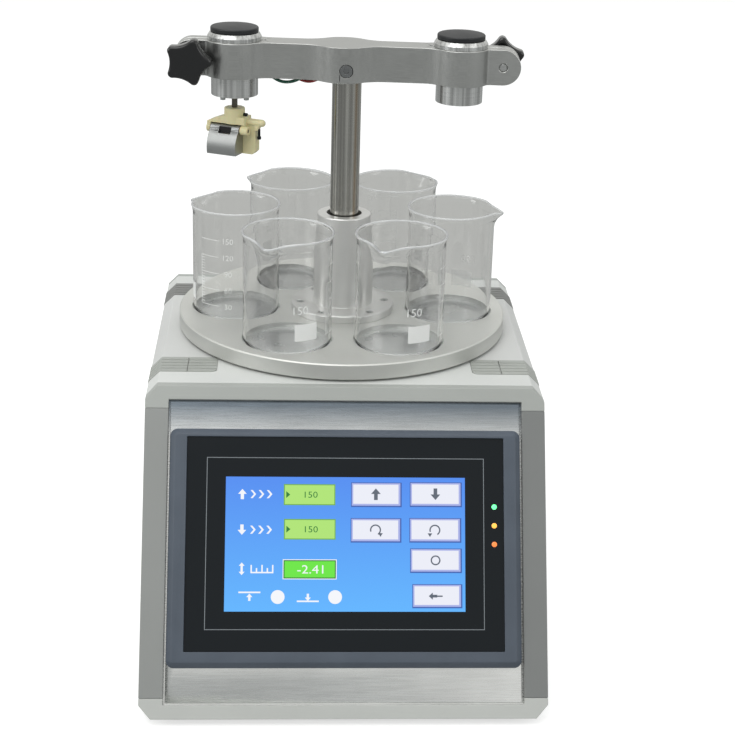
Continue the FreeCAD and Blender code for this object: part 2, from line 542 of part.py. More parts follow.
guides = [rod(x, GUIDE_Y, BASE_PLATE_TOP, TOP_PLATE_LOW, GUIDE_RADIUS) for x in (-GUIDE_X, GUIDE_X)]
save("lift_rods", *pillars, *guides)
column_bushing = joined(
    tube(0, AXIS_Y, TOP_PLATE_LOW, BUSHING_TOP, BUSHING_RADIUS, COLUMN_RADIUS + RUNNING),
    tube(0, AXIS_Y, TOP_PLATE_HIGH, TOP_PLATE_HIGH + BUSHING_FLANGE_HEIGHT, BUSHING_RADIUS + BUSHING_FLANGE,
         COLUMN_RADIUS + RUNNING))
screw_bearing = tube(0, SCREW_Y, TOP_PLATE_LOW, TOP_PLATE_HIGH, BEARING_RADIUS, SCREW_RADIUS + RUNNING)
save("lift_bushings", column_bushing, screw_bearing)

# Lift drive: a flat stepping motor on the base plate, the lead screw, and the carriage with its nut.
MOTOR_HALF = 21.1
MOTOR_HEIGHT = 24.0
MOTOR_CORNER = 4.0
CARRIAGE_STOP = 2.0
CARRIAGE_THICKNESS = 12.0
CARRIAGE_HALF = 37.0
CARRIAGE_FRONT_REACH = 15.0
CARRIAGE_REAR_REACH = 43.0
CARRIAGE_CORNER = 5.0
SCREW_END_GAP = 0.5
MOTOR_BORE_DEPTH = 12.0
SCREW_IN_MOTOR = 10.0
CARRIAGE_FRONT = AXIS_Y - CARRIAGE_FRONT_REACH
CARRIAGE_REAR = AXIS_Y + CARRIAGE_REAR_REACH
MOTOR_TOP = BASE_PLATE_TOP + MOTOR_HEIGHT
CARRIAGE_LOW = MOTOR_TOP + CARRIAGE_STOP + LIFT_DOWN
CARRIAGE_HIGH = CARRIAGE_LOW + CARRIAGE_THICKNESS
NUT_RADIUS = 7.0
motor = rounded_box(-MOTOR_HALF, MOTOR_HALF, SCREW_Y - MOTOR_HALF, SCREW_Y + MOTOR_HALF,
                    BASE_PLATE_TOP, MOTOR_TOP, MOTOR_CORNER, ALONG_Z)
save("lift_motor", motor.cut(rod(0, SCREW_Y, MOTOR_TOP - MOTOR_BORE_DEPTH, MOTOR_TOP + 1, SCREW_RADIUS + 0.3)))
save("lead_screw", rod(0, SCREW_Y, MOTOR_TOP - SCREW_IN_MOTOR, TOP_PLATE_HIGH - SCREW_END_GAP, SCREW_RADIUS))
carriage = rounded_box(-CARRIAGE_HALF, CARRIAGE_HALF, CARRIAGE_FRONT, CARRIAGE_REAR, CARRIAGE_LOW,
                       CARRIAGE_HIGH, CARRIAGE_CORNER, ALONG_Z)
carriage = carriage.cut(Part.makeCompound(
    [rod(0, AXIS_Y, 0, FAR, COLUMN_RADIUS), rod(0, SCREW_Y, 0, FAR, NUT_RADIUS)]
    + [rod(x, GUIDE_Y, 0, FAR, GUIDE_RADIUS + RUNNING) for x in (-GUIDE_X, GUIDE_X)]))
nut = tube(0, SCREW_Y, CARRIAGE_LOW, CARRIAGE_HIGH, NUT_RADIUS, SCREW_RADIUS + RUNNING)
save("lift_carriage", carriage, nut)

# Limit switches: two small switches on a strip beside the carriage, at the ends of its travel.
STRIP_GAP = 9.0
STRIP_X = -CARRIAGE_HALF - STRIP_GAP
STRIP_HALF = 8.0
SWITCH_WIDTH = 6.5
SWITCH_HALF_LENGTH = 10.0
SWITCH_HALF_TALL = 5.0
SWITCH_STOP = 6.0
CARRIAGE_HEADROOM = 5.0
strip = box(STRIP_X - SHEET, STRIP_X, AXIS_Y - STRIP_HALF, AXIS_Y + STRIP_HALF, BASE_PLATE_TOP, TOP_PLATE_LOW)
switches = [box(STRIP_X, STRIP_X + SWITCH_WIDTH, AXIS_Y - SWITCH_HALF_LENGTH, AXIS_Y + SWITCH_HALF_LENGTH,
                z - SWITCH_HALF_TALL, z + SWITCH_HALF_TALL)
            for z in (CARRIAGE_LOW - LIFT_DOWN + SWITCH_STOP, TOP_PLATE_LOW - CARRIAGE_HEADROOM - SWITCH_STOP)]
save("limit_switches", strip, *switches)

# Turntable bearing: a housing under the cover, and the bearing in it.
HUB_RADIUS = 15.0
HUB_GAP = 2.0
HUB_LOW = BUSHING_TOP + HUB_GAP
HUB_SHOULDER = 17.5
BEARING_OUTER = 21.0
HOUSING_RADIUS = 36.0
HOUSING_DROP = 13.0
HOUSING_LIP = 1.0
BEARING_WIDTH = 7.0
HOUSING_LOW = CASE_TOP - HOUSING_DROP
COVER_UNDER = CASE_TOP - SHEET
GEAR_GAP = 1.0
GEAR_WIDTH = 7.0
GEAR_HIGH = HOUSING_LOW - GEAR_GAP
GEAR_LOW = GEAR_HIGH - GEAR_WIDTH
BEARING_LOW = HOUSING_LOW + HOUSING_LIP
BEARING_HIGH = BEARING_LOW + BEARING_WIDTH
housing = joined(tube(0, AXIS_Y, BEARING_LOW, COVER_UNDER, HOUSING_RADIUS, BEARING_OUTER),
                 tube(0, AXIS_Y, HOUSING_LOW, BEARING_LOW, HOUSING_RADIUS, BEARING_OUTER - SHEET))
bearing = tube(0, AXIS_Y, BEARING_LOW, BEARING_HIGH, BEARING_OUTER, HUB_RADIUS + RUNNING)
save("tray_bearing", housing, bearing)


def gear(teeth, bore, z0, z1, first_tooth):
    """A spur gear with involute flanks, thinned for running clearance. first_tooth is one tooth's direction."""
    pitch = GEAR_MODULE * teeth / 2
    base = pitch * math.cos(math.radians(PRESSURE_ANGLE))
    tip = pitch + GEAR_MODULE
    root = pitch - 1.25 * GEAR_MODULE
    start = max(base, root)
    thinning = TOOTH_THINNING
    half_at_pitch = math.pi / (2 * teeth) - thinning / pitch

    def involute(radius):
        angle = math.acos(min(1.0, base / radius))
        return math.tan(angle) - angle

    flank = []
    for radius in (start, (start + tip) / 2, tip):
        flank.append((radius, half_at_pitch + involute(pitch) - involute(radius)))
    if root < start:
        flank.insert(0, (root, flank[0][1]))
    points = []
    for k in range(teeth):
        middle = math.radians(first_tooth) + 2 * math.pi * k / teeth
        side = [(radius, middle - half) for radius, half in flank]
        side += [(radius, middle + half) for radius, half in reversed(flank)]
        points += [(radius * math.cos(angle), radius * math.sin(angle)) for radius, angle in side]
    return prism_xy(points, z0, z1).cut(rod(0, 0, z0 - 1, z1 + 1, bore))


# Turntable: the disc with six recesses, the hub tube with the driven gear, and the flanged sleeve on top.
RECESS_PLACES = [(PITCH_RADIUS * math.cos(math.radians(TRAY_PHASE + 60 * k)),
                  AXIS_Y + PITCH_RADIUS * math.sin(math.radians(TRAY_PHASE + 60 * k))) for k in range(6)]
SLEEVE_SCREW_RADIUS = 29.0
SLEEVE_SCREW_TURN = 5.0
SLEEVE_SCREWS = [(SLEEVE_SCREW_RADIUS * math.cos(math.radians(SLEEVE_SCREW_TURN + 60 * k)),
                  AXIS_Y + SLEEVE_SCREW_RADIUS * math.sin(math.radians(SLEEVE_SCREW_TURN + 60 * k)))
                 for k in range(6)]
SCREW_SHANK = 1.5
EDGE_CHAMFER = 0.8
disc = rod(0, AXIS_Y, DISC_BOTTOM, DISC_TOP, DISC_RADIUS)
disc = disc.makeChamfer(EDGE_CHAMFER, [edge for edge in disc.Edges if edge.Length > 500])
cuts = [rod(x, y, RECESS_FLOOR, FAR, RECESS_RADIUS) for x, y in RECESS_PLACES]
cuts += [rod(x, y, DISC_BOTTOM + 2, FAR, SCREW_SHANK) for x, y in SLEEVE_SCREWS]
cuts.append(rod(0, AXIS_Y, 0, FAR, SLEEVE_BORE))
save("tray_disc", disc.cut(Part.makeCompound(cuts)))

hub = joined(tube(0, AXIS_Y, HUB_LOW, DISC_BOTTOM, HUB_RADIUS, SLEEVE_BORE),
             tube(0, AXIS_Y, BEARING_HIGH + 0.3, DISC_BOTTOM, HUB_SHOULDER, SLEEVE_BORE))
driven = gear(GEAR_TEETH, HUB_RADIUS, GEAR_LOW, GEAR_HIGH, 0)
driven.translate(vec(0, AXIS_Y, 0))
save("tray_hub", hub, driven)

flange_top = DISC_TOP + FLANGE_THICKNESS
sleeve_top = DISC_TOP + SLEEVE_HEIGHT
HEAD_SINK = 3.2
sleeve = joined(rod(0, AXIS_Y, DISC_TOP, flange_top, FLANGE_RADIUS),
                rod(0, AXIS_Y, DISC_TOP, sleeve_top, SLEEVE_RADIUS))
sleeve = sleeve.makeChamfer(0.6, [edge for edge in sleeve.Edges
                                  if edge.Closed and edge.BoundBox.ZMin > flange_top - 0.1
                                  and edge.BoundBox.ZLength < 0.1
                                  and (edge.BoundBox.XLength > 2 * FLANGE_RADIUS - 1 or
                                       edge.BoundBox.ZMin > sleeve_top - 0.1)])
cuts = [rod(x, y, flange_top - HEAD_SINK, FAR, 3.2) for x, y in SLEEVE_SCREWS]
cuts += [rod(x, y, DISC_TOP - 1, FAR, SCREW_SHANK) for x, y in SLEEVE_SCREWS]
cuts.append(rod(0, AXIS_Y, 0, FAR, SLEEVE_BORE))
save("tray_sleeve", sleeve.cut(Part.makeCompound(cuts)))
screws = [joined(rod(x, y, flange_top - HEAD_SINK, flange_top - 0.3, 2.9),
                 rod(x, y, DISC_BOTTOM + 2, flange_top - HEAD_SINK, SCREW_SHANK)).cut(
              hex_hole(x, y, flange_top - 2, FAR, 1.5)) for x, y in SLEEVE_SCREWS]
save("sleeve_screws", *screws)

# Turntable drive: a gearmotor hung under the top plate, and its pinion in mesh with the driven gear.
TRAY_MOTOR_RADIUS = 18.5
TRAY_MOTOR_LENGTH = 54.0
TRAY_MOTOR_LOW = TOP_PLATE_LOW - TRAY_MOTOR_LENGTH
motor_body = rod(GEAR_DISTANCE, AXIS_Y, TRAY_MOTOR_LOW, TOP_PLATE_LOW, TRAY_MOTOR_RADIUS)
save("tray_motor", motor_body.cut(rod(GEAR_DISTANCE, AXIS_Y, TOP_PLATE_LOW - 12, FAR, PINION_SHAFT + 0.3)))
pinion = gear(PINION_TEETH, 0.5, GEAR_LOW, GEAR_HIGH, 180 + 180.0 / PINION_TEETH)
pinion = joined(pinion, rod(0, 0, TOP_PLATE_LOW - 10, GEAR_HIGH, PINION_SHAFT))
pinion.translate(vec(GEAR_DISTANCE, AXIS_Y, 0))
save("tray_pinion", pinion)

# Electronics: the power supply on the left, and the control board on standoffs on the right.
TRAY_FLOOR = CASE_BOTTOM + SHEET
SUPPLY_SET_IN = 10.0
INNER_GAP = 6.0
SUPPLY_HEIGHT = 39.0
SUPPLY_FRONT_REACH = 47.0
SUPPLY_REAR_REACH = 67.0
SUPPLY_FRONT = AXIS_Y - SUPPLY_FRONT_REACH
SUPPLY_REAR = AXIS_Y + SUPPLY_REAR_REACH
save("power_supply", rounded_box(-CASE_WIDTH / 2 + SUPPLY_SET_IN, PLATE_LEFT - INNER_GAP, SUPPLY_FRONT, SUPPLY_REAR,
                                 TRAY_FLOOR, TRAY_FLOOR + SUPPLY_HEIGHT, 2, ALONG_Z))
STAND_HEIGHT = 10.0
STAND_RADIUS = 3.0
STAND_SET_IN = 5.6
BOARD_THICKNESS = 1.6
BOARD_LEFT = PLATE_RIGHT + INNER_GAP
BOARD_RIGHT = CASE_WIDTH / 2 - INNER_GAP
BOARD_FRONT_REACH = 57.0
BOARD_REAR_REACH = 73.0
BOARD_FRONT = AXIS_Y - BOARD_FRONT_REACH
BOARD_REAR = AXIS_Y + BOARD_REAR_REACH
BOARD_LOW = TRAY_FLOOR + STAND_HEIGHT
BOARD_HIGH = BOARD_LOW + BOARD_THICKNESS
BOARD_WIDTH = BOARD_RIGHT - BOARD_LEFT
BOARD_LENGTH = BOARD_REAR - BOARD_FRONT
# Each part on the board: its place from the left and the front, and its width and length, as shares of the
# board's, and its height.
BOARD_PARTS = ((0.18, 0.15, 0.47, 0.13, 2.4), (0.24, 0.40, 0.58, 0.14, 14.4), (0.24, 0.60, 0.58, 0.14, 14.4),
               (0.12, 0.80, 0.30, 0.14, 9.4))
board = box(BOARD_LEFT, BOARD_RIGHT, BOARD_FRONT, BOARD_REAR, BOARD_LOW, BOARD_HIGH)
stands = [rod(x, y, TRAY_FLOOR, BOARD_LOW, STAND_RADIUS)
          for x in (BOARD_LEFT + STAND_SET_IN, BOARD_RIGHT - STAND_SET_IN)
          for y in (BOARD_FRONT + STAND_SET_IN, BOARD_REAR - STAND_SET_IN)]
chips = [box(BOARD_LEFT + left * BOARD_WIDTH, BOARD_LEFT + (left + width) * BOARD_WIDTH,
             BOARD_FRONT + front * BOARD_LENGTH, BOARD_FRONT + (front + length) * BOARD_LENGTH,
             BOARD_HIGH, BOARD_HIGH + tall) for left, front, width, length, tall in BOARD_PARTS]
save("control_board", joined(board, *stands, *chips))

# Beakers: low form, with a rounded foot, a flared rim and a spout where the rim dips. Each lifts out of its
# recess.
BEAKER_LOW = RECESS_FLOOR + 0.1
FOOT_ROUND = 6.0
FLARE_HEIGHT = 7.0
FLOOR_THICKNESS = 2.0
SPOUT_POINT = 0.8
RIM_RADIUS = 31.2
SPOUT_RADIUS = 7.0
SPOUT_REACH = 29.3
SPOUT_DROP = 16.0
DIP_START = 25.0
DIP_SLOPE = 0.28


def beaker_body(radius, floor, flare, top):
    """A round body with a rounded foot and a flared mouth, standing on the origin's axis."""
    foot = FOOT_ROUND - (BEAKER_RADIUS - radius)
    quarter = foot * (1 - math.sqrt(0.5))
    flare_start = BEAKER_HEIGHT - FLARE_HEIGHT
    outline = [
        Part.LineSegment(vec(0, 0, floor), vec(radius - foot, 0, floor)),
        Part.Arc(vec(radius - foot, 0, floor), vec(radius - quarter, 0, floor + quarter),
                 vec(radius, 0, floor + foot)),
        Part.LineSegment(vec(radius, 0, floor + foot), vec(radius, 0, flare_start)),
        Part.Arc(vec(radius, 0, flare_start), vec(radius + flare * 0.3, 0, (flare_start * 1.1 + top * 0.9) / 2),
                 vec(radius + flare, 0, top)),
        Part.LineSegment(vec(radius + flare, 0, top), vec(0, 0, top)),
        Part.LineSegment(vec(0, 0, top), vec(0, 0, floor))]
    face = Part.Face(Part.Wire([part.toShape() for part in outline]))
    return face.revolve(vec(0, 0, 0), vec(0, 0, 1), 360)


def spout_cone(shrink, top):
    cone = Part.makeCone(SPOUT_POINT, SPOUT_RADIUS - shrink, SPOUT_DROP + top - BEAKER_HEIGHT,
                         vec(SPOUT_REACH - shrink * 0.3, 0, BEAKER_HEIGHT - SPOUT_DROP))
    return cone.common(box(BEAKER_RADIUS - 12, FAR, -20, 20, 0, BEAKER_HEIGHT + 5))


def beaker(turn):
    flare = RIM_RADIUS - BEAKER_RADIUS
    outer = beaker_body(BEAKER_RADIUS, 0, flare, BEAKER_HEIGHT).fuse(spout_cone(0, BEAKER_HEIGHT))
    inner = beaker_body(BEAKER_RADIUS - BEAKER_WALL, FLOOR_THICKNESS, flare, BEAKER_HEIGHT + 1)
    solid = outer.cut(inner.fuse(spout_cone(BEAKER_WALL, BEAKER_HEIGHT + 1)))
    dip_end = BEAKER_RADIUS * 2
    dip_low = BEAKER_HEIGHT - (dip_end - DIP_START) * DIP_SLOPE
    solid = solid.cut(prism_xz([(DIP_START, BEAKER_HEIGHT), (dip_end, dip_low), (dip_end, BEAKER_HEIGHT + 9),
                                (DIP_START, BEAKER_HEIGHT + 9)], -BEAKER_RADIUS, BEAKER_RADIUS))
    solid.rotate(vec(0, 0, 0), vec(0, 0, 1), turn)
    return solid


for k, (x, y) in enumerate(RECESS_PLACES):
    vessel = beaker(SPOUT_TURNS[k])
    vessel.translate(vec(x, y, BEAKER_LOW))
    save("beaker_" + str(k + 1), vessel)

# Column: the polished rod that carries the arm, clamped in the carriage at its foot.
COLUMN_SINK = 20.0
COLUMN_TOP = ARM_BOTTOM + COLUMN_SINK
save("column", rod(0, AXIS_Y, CARRIAGE_LOW, COLUMN_TOP, COLUMN_RADIUS))

# Arm: one machined piece, with the hub on the column, two bars, two split rings and the rings' ears.
HUB_SHIFT = -2.5
HUB_BULGE = 20.0
HUB_BLEND = 24.0
RING_BLEND = 16.0
EAR_BLEND = 3.0
STUD_RADIUS = 3.0
CAP_SCREW_RISE = 8.4
CAP_SCREW_Z = ARM_BOTTOM + CAP_SCREW_RISE
CAP_SCREW_FRONT = 19.8
CAP_SCREW_SEAT = 14.0
CAP_SCREW_SHANK = 2.5
TOP_SCREW_X = HEAD_OFFSET - 19.5
TOP_SCREW_RADIUS = 1.6
TOP_SCREW_DEPTH = 6.0
CHANNEL_HALF = 3.2
CHANNEL_DEPTH = 6.0
arm = joined(
    rod(HUB_SHIFT, 0, ARM_BOTTOM, ARM_TOP, HUB_BULGE),
    box(-HEAD_OFFSET, HEAD_OFFSET, -ARM_WIDTH / 2, ARM_WIDTH / 2, ARM_BOTTOM, ARM_TOP),
    rod(-HEAD_OFFSET, 0, ARM_BOTTOM, ARM_TOP, RING_RADIUS),
    rod(HEAD_OFFSET, 0, ARM_BOTTOM, ARM_TOP, RING_RADIUS))


def upright_edges(solid, low, high, narrow, wide):
    """The upright edges whose distance from the arm's middle lies in a range along X and across it."""
    found = []
    for edge in solid.Edges:
        bounds = edge.BoundBox
        if bounds.ZLength > ARM_HEIGHT - 0.1 and bounds.XLength + bounds.YLength < 0.01:
            if low < abs(bounds.XMin) < high and narrow < abs(bounds.YMin) < wide:
                found.append(edge)
    return found


half_bar = ARM_WIDTH / 2
arm = arm.makeFillet(HUB_BLEND, upright_edges(arm, 5, 30, half_bar - 0.1, half_bar + 0.1))
arm = arm.makeFillet(RING_BLEND, upright_edges(arm, 55, 70, half_bar - 0.1, half_bar + 0.1))
ears = []
for side in (-1, 1):
    reach = side * (HEAD_OFFSET + EAR_REACH)
    across = sorted((side * HEAD_OFFSET, reach))
    ears.append(box(across[0], across[1], -EAR_WIDTH / 2, EAR_WIDTH / 2, ARM_BOTTOM, ARM_TOP))
    ears.append(rod_y(reach, -EAR_WIDTH / 2, EAR_WIDTH / 2, ARM_MIDDLE, ARM_HEIGHT / 2))
arm = joined(arm, *ears)
arm = arm.makeFillet(EAR_BLEND, upright_edges(arm, HEAD_OFFSET + 10, HEAD_OFFSET + 25,
                                              EAR_WIDTH / 2 - 0.1, EAR_WIDTH / 2 + 0.1))
bores = [rod(-HEAD_OFFSET, 0, 0, FAR * 2, HEAD_RADIUS), rod(HEAD_OFFSET, 0, 0, FAR * 2, HEAD_RADIUS),
         rod(0, 0, 0, COLUMN_TOP, COLUMN_RADIUS),
         box(-HEAD_OFFSET + 10, -COLUMN_RADIUS + 2, -CHANNEL_HALF, CHANNEL_HALF, 0, ARM_BOTTOM + CHANNEL_DEPTH)]
SOCKET_HEAD = 4.25
for side in (-1, 1):
    slot = sorted((side * HEAD_OFFSET, side * (HEAD_OFFSET + 60)))
    bores.append(box(slot[0], slot[1], -CLAMP_SLOT / 2, CLAMP_SLOT / 2, 0, FAR * 2))
    bores.append(rod_y(side * (HEAD_OFFSET + EAR_REACH), -30, 30, ARM_MIDDLE, STUD_RADIUS))
    bores.append(rod(side * TOP_SCREW_X, 0, ARM_TOP - TOP_SCREW_DEPTH, FAR * 2, TOP_SCREW_RADIUS))
bores.append(rod_y(0, -30, -CAP_SCREW_SEAT, CAP_SCREW_Z, SOCKET_HEAD + 0.3))
bores.append(rod_y(0, -30, -5, CAP_SCREW_Z, CAP_SCREW_SHANK))
save("arm", on_arm(arm.cut(Part.makeCompound(bores))))

# Arm screws: the hub's socket head screw at the front and a small screw in the top beside each ring. The
# two that hold the spindle motor from below are saved with them.
hub_screw = joined(rod_y(0, -CAP_SCREW_FRONT, -CAP_SCREW_SEAT, CAP_SCREW_Z, SOCKET_HEAD),
                   rod_y(0, -CAP_SCREW_SEAT - 1, -COLUMN_RADIUS, CAP_SCREW_Z, CAP_SCREW_SHANK))
hexagon = hex_hole(0, 0, -1, 3, 2.1)
hexagon.rotate(vec(0, 0, 0), vec(1, 0, 0), -90)
hexagon.translate(vec(0, -CAP_SCREW_FRONT - 0.7, CAP_SCREW_Z))
small_screws = [rod(x, 0, ARM_TOP - TOP_SCREW_DEPTH, ARM_TOP - 0.4, TOP_SCREW_RADIUS).cut(
                    hex_hole(x, 0, ARM_TOP - TOP_SCREW_RADIUS, FAR * 2, TOP_SCREW_RADIUS / 2))
                for x in (-TOP_SCREW_X, TOP_SCREW_X)]

# Head housings: turned aluminium cups clamped in the rings, with a bevelled flange and a domed black cap.
HOUSING_CLEARANCE = 151.3
FLANGE_RISE = 5.2
HOUSING_BOTTOM = DISC_TOP + HOUSING_CLEARANCE
HEAD_FLANGE = 18.3
HEAD_LIP = 16.7
FLANGE_STEP = 2.6
FLANGE_TOP = ARM_TOP + FLANGE_RISE
HEAD_BORE = 13.0
HEAD_FLOOR = 3.0
MOTOR_SCREW_OFFSET = 8.0
MOTOR_SCREW_TURN = 4.0
SHAFT_HOLE = 4.0
HEAD_SCREWS = [(side * MOTOR_SCREW_OFFSET * math.cos(math.radians(MOTOR_SCREW_TURN)),
                side * MOTOR_SCREW_OFFSET * math.sin(math.radians(MOTOR_SCREW_TURN))) for side in (-1, 1)]


def head_housing(x):
    solid = joined(rod(x, 0, HOUSING_BOTTOM, ARM_TOP, HEAD_RADIUS),
                   rod(x, 0, ARM_TOP, ARM_TOP + FLANGE_STEP, HEAD_FLANGE),
                   Part.makeCone(HEAD_FLANGE, HEAD_LIP, FLANGE_TOP - ARM_TOP - FLANGE_STEP,
                                 vec(x, 0, ARM_TOP + FLANGE_STEP)))
    return solid.cut(rod(x, 0, HOUSING_BOTTOM + HEAD_FLOOR, FAR * 2, HEAD_BORE))


left_housing = head_housing(-HEAD_OFFSET).cut(rod(-HEAD_OFFSET, 0, 0, FAR, SHAFT_HOLE))
left_housing = left_housing.cut(Part.makeCompound([rod(x - HEAD_OFFSET, y, 0, FAR, 1.5)
                                                   for x, y in HEAD_SCREWS]))
save("housing_left", on_arm(left_housing))
save("housing_right", on_arm(head_housing(HEAD_OFFSET)))


CAP_RADIUS = HEAD_LIP - 0.4
CAP_SIDE = 3.4
CAP_DOME = 1.6


def domed_cap(x):
    sphere = (CAP_RADIUS ** 2 + CAP_DOME ** 2) / (2 * CAP_DOME)
    top = FLANGE_TOP + CAP_SIDE + CAP_DOME
    return rod(x, 0, FLANGE_TOP, top, CAP_RADIUS).common(Part.makeSphere(sphere, vec(x, 0, top - sphere)))


save("head_caps", on_arm(domed_cap(-HEAD_OFFSET)), on_arm(domed_cap(HEAD_OFFSET)))

# Spindle motor: a small gearmotor in the left housing, held by two screws from below.
SPINDLE_RADIUS = 2.0
MOTOR_SCREW_HEAD = 1.8
MOTOR_SCREW_HEAD_HEIGHT = 4.4
MOTOR_SCREW_SHANK = 1.5
MOTOR_GAP = 0.5
motor_low = HOUSING_BOTTOM + HEAD_FLOOR
spindle_motor = rod(-HEAD_OFFSET, 0, motor_low, FLANGE_TOP - HEAD_FLOOR, HEAD_BORE - MOTOR_GAP)
save("spindle_motor", on_arm(spindle_motor.cut(
    rod(-HEAD_OFFSET, 0, motor_low - 1, motor_low + 8, SPINDLE_RADIUS + 0.3))))
motor_screws = [joined(rod(x - HEAD_OFFSET, y, HOUSING_BOTTOM - MOTOR_SCREW_HEAD_HEIGHT, HOUSING_BOTTOM,
                           MOTOR_SCREW_HEAD),
                       rod(x - HEAD_OFFSET, y, HOUSING_BOTTOM - 1, motor_low, MOTOR_SCREW_SHANK))
                for x, y in HEAD_SCREWS]
save("arm_screws", *[on_arm(screw) for screw in [hub_screw.cut(hexagon)] + small_screws + motor_screws])

# Motor leads: two thin leads held in the channel under the left half of the arm. Each sags below it once.
LEAD_RADIUS = 1.1
LEAD_Y = 1.5
LEAD_START = -HEAD_OFFSET + HEAD_RADIUS + 0.05
LEAD_END = -COLUMN_RADIUS - 0.05
GREEN_ROUTE = ((LEAD_START, 2.4), (-52.6, 0.7), (-45.2, -4.0), (-36.6, -3.7), (-28.4, 1.0), (-19.6, 3.1),
               (LEAD_END, 2.7))
RED_ROUTE = ((LEAD_START, 3.3), (-51.0, 3.7), (-41.6, 2.7), (-33.8, -1.8), (-26.0, -4.2), (-18.4, -1.2),
             (LEAD_END, 2.3))


def lead(route, y):
    """A round lead along straight runs joined by tangent arcs, in an upright plane beside the arm's middle."""
    points = [vec(x, y, ARM_BOTTOM + z) for x, z in route]
    edges = []
    radii = []
    start = points[0]
    for before, here, after in zip(points, points[1:], points[2:]):
        into = (here - before).normalize()
        out = (after - here).normalize()
        turn = into.getAngle(out)
        length = 0.45 * min((here - before).Length, (after - here).Length)
        radius = length / math.tan(turn / 2)
        radii.append(round(radius, 1))
        first = here - into * length
        last = here + out * length
        inward = (out - into).normalize()
        middle = here + inward * (radius / math.cos(turn / 2) - radius)
        edges.append(Part.LineSegment(start, first).toShape())
        edges.append(Part.Arc(first, middle, last).toShape())
        start = last
    edges.append(Part.LineSegment(start, points[-1]).toShape())
    path = Part.Wire(edges)
    section = Part.Wire(Part.Circle(points[0], edges[0].tangentAt(0), LEAD_RADIUS).toShape())
    solid = path.makePipeShell([section], True, False)
    print("lead radii", radii, "length", round(path.Length, 2), "volume over section times length",
          round(solid.Volume / (math.pi * LEAD_RADIUS ** 2 * path.Length), 4))
    return solid


save("lead_green", on_arm(lead(GREEN_ROUTE, -LEAD_Y)))
save("lead_red", on_arm(lead(RED_ROUTE, LEAD_Y)))

# Sample clamp: a cream moulded body on the spindle, and an aluminium jaw with a black pad in its window, which
# swings on a cross pin. The clamp's heights are given above its foot.
CLAMP_CLEARANCE = 110.6
CLAMP_HEIGHT = 31.4
CLAMP_HUB_LENGTH = 9.0
CLAMP_HUB_RADIUS = 7.1
ROOF_RISE = 25.8
ROOF_THICKNESS = 5.2
PIVOT_RISE = 16.6
PIVOT_Y = -4.4
CLAMP_FOOT = DISC_TOP + CLAMP_CLEARANCE
CLAMP_HUB_TOP = CLAMP_FOOT + CLAMP_HEIGHT
CLAMP_HUB_LOW = CLAMP_HUB_TOP - CLAMP_HUB_LENGTH
ROOF_TOP = CLAMP_FOOT + ROOF_RISE
ROOF_UNDER = ROOF_TOP - ROOF_THICKNESS
PIVOT_Z = CLAMP_FOOT + PIVOT_RISE
JAW_SIDE_GAP = 0.4
CHEEK_WIDTH = 2.8
JAW_LEFT = -15.0
JAW_RIGHT = 6.6
CHEEK_LEFT = JAW_LEFT - JAW_SIDE_GAP
BODY_LEFT = CHEEK_LEFT - CHEEK_WIDTH
CHEEK_RIGHT = JAW_RIGHT + JAW_SIDE_GAP
BODY_RIGHT = CHEEK_RIGHT + CHEEK_WIDTH
BOSS_END = BODY_RIGHT + 2.8
ROOF_EDGE = 4.6
PLATE_FACE = -0.5
BODY_REAR = 6.0
PLATE_LEFT_EDGE = BODY_LEFT + 6.0
PLATE_RIGHT_EDGE = 16.0
PLATE_CHAMFER = 2.5
LEFT_BOSS_RADIUS = 3.0
RIGHT_BOSS_RADIUS = 3.1
PIN_RADIUS = 1.2
hub_cylinder = rod(0, 0, ROOF_UNDER, CLAMP_HUB_TOP, CLAMP_HUB_RADIUS)
hub_cylinder = hub_cylinder.makeFillet(0.8, [edge for edge in hub_cylinder.Edges
                                             if edge.BoundBox.ZMin > CLAMP_HUB_TOP - 0.1])
roof = prism_xz([(BODY_LEFT, PIVOT_Z), (BODY_LEFT, PIVOT_Z + ROOF_EDGE), (-CLAMP_HUB_RADIUS + 0.5, ROOF_TOP),
                 (BODY_RIGHT, ROOF_TOP), (BODY_RIGHT, ROOF_UNDER), (CHEEK_LEFT, ROOF_UNDER),
                 (CHEEK_LEFT, PIVOT_Z)], -BODY_REAR, BODY_REAR)
plate_low = CLAMP_FOOT - 0.4
back_plate = prism_xz([(PLATE_LEFT_EDGE, plate_low), (PLATE_RIGHT_EDGE - PLATE_CHAMFER, plate_low),
                       (PLATE_RIGHT_EDGE, plate_low + PLATE_CHAMFER), (PLATE_RIGHT_EDGE, ROOF_UNDER + 1),
                       (PLATE_LEFT_EDGE, ROOF_UNDER + 1)], PLATE_FACE, BODY_REAR)
cheeks = [box(BODY_LEFT, CHEEK_LEFT, PIVOT_Y, BODY_REAR, PIVOT_Z - LEFT_BOSS_RADIUS, ROOF_UNDER),
          box(CHEEK_RIGHT, BODY_RIGHT, PIVOT_Y, BODY_REAR, PIVOT_Z - LEFT_BOSS_RADIUS, ROOF_UNDER)]
bosses = [rod_x(BODY_LEFT, CHEEK_LEFT, PIVOT_Y, PIVOT_Z, LEFT_BOSS_RADIUS),
          rod_x(CHEEK_RIGHT, BOSS_END, PIVOT_Y, PIVOT_Z, RIGHT_BOSS_RADIUS)]
CROSSBAR_RADIUS = 2.5
CROSSBAR_RISE = 22.0
CROSSBAR_Z = CLAMP_FOOT + CROSSBAR_RISE
CROSSBAR_END = 20.2
SET_SCREW_Z = CLAMP_FOOT + 27.0
SET_SCREW_RADIUS = 1.1
SET_SCREW_END = 9.6
SIDE_SCREW_X = 18.3
SIDE_SCREW_Y = 0.5
SIDE_SCREW_Z = CLAMP_FOOT + 10.8
SIDE_SCREW_RADIUS = 0.9
SIDE_HEAD_RADIUS = 1.4
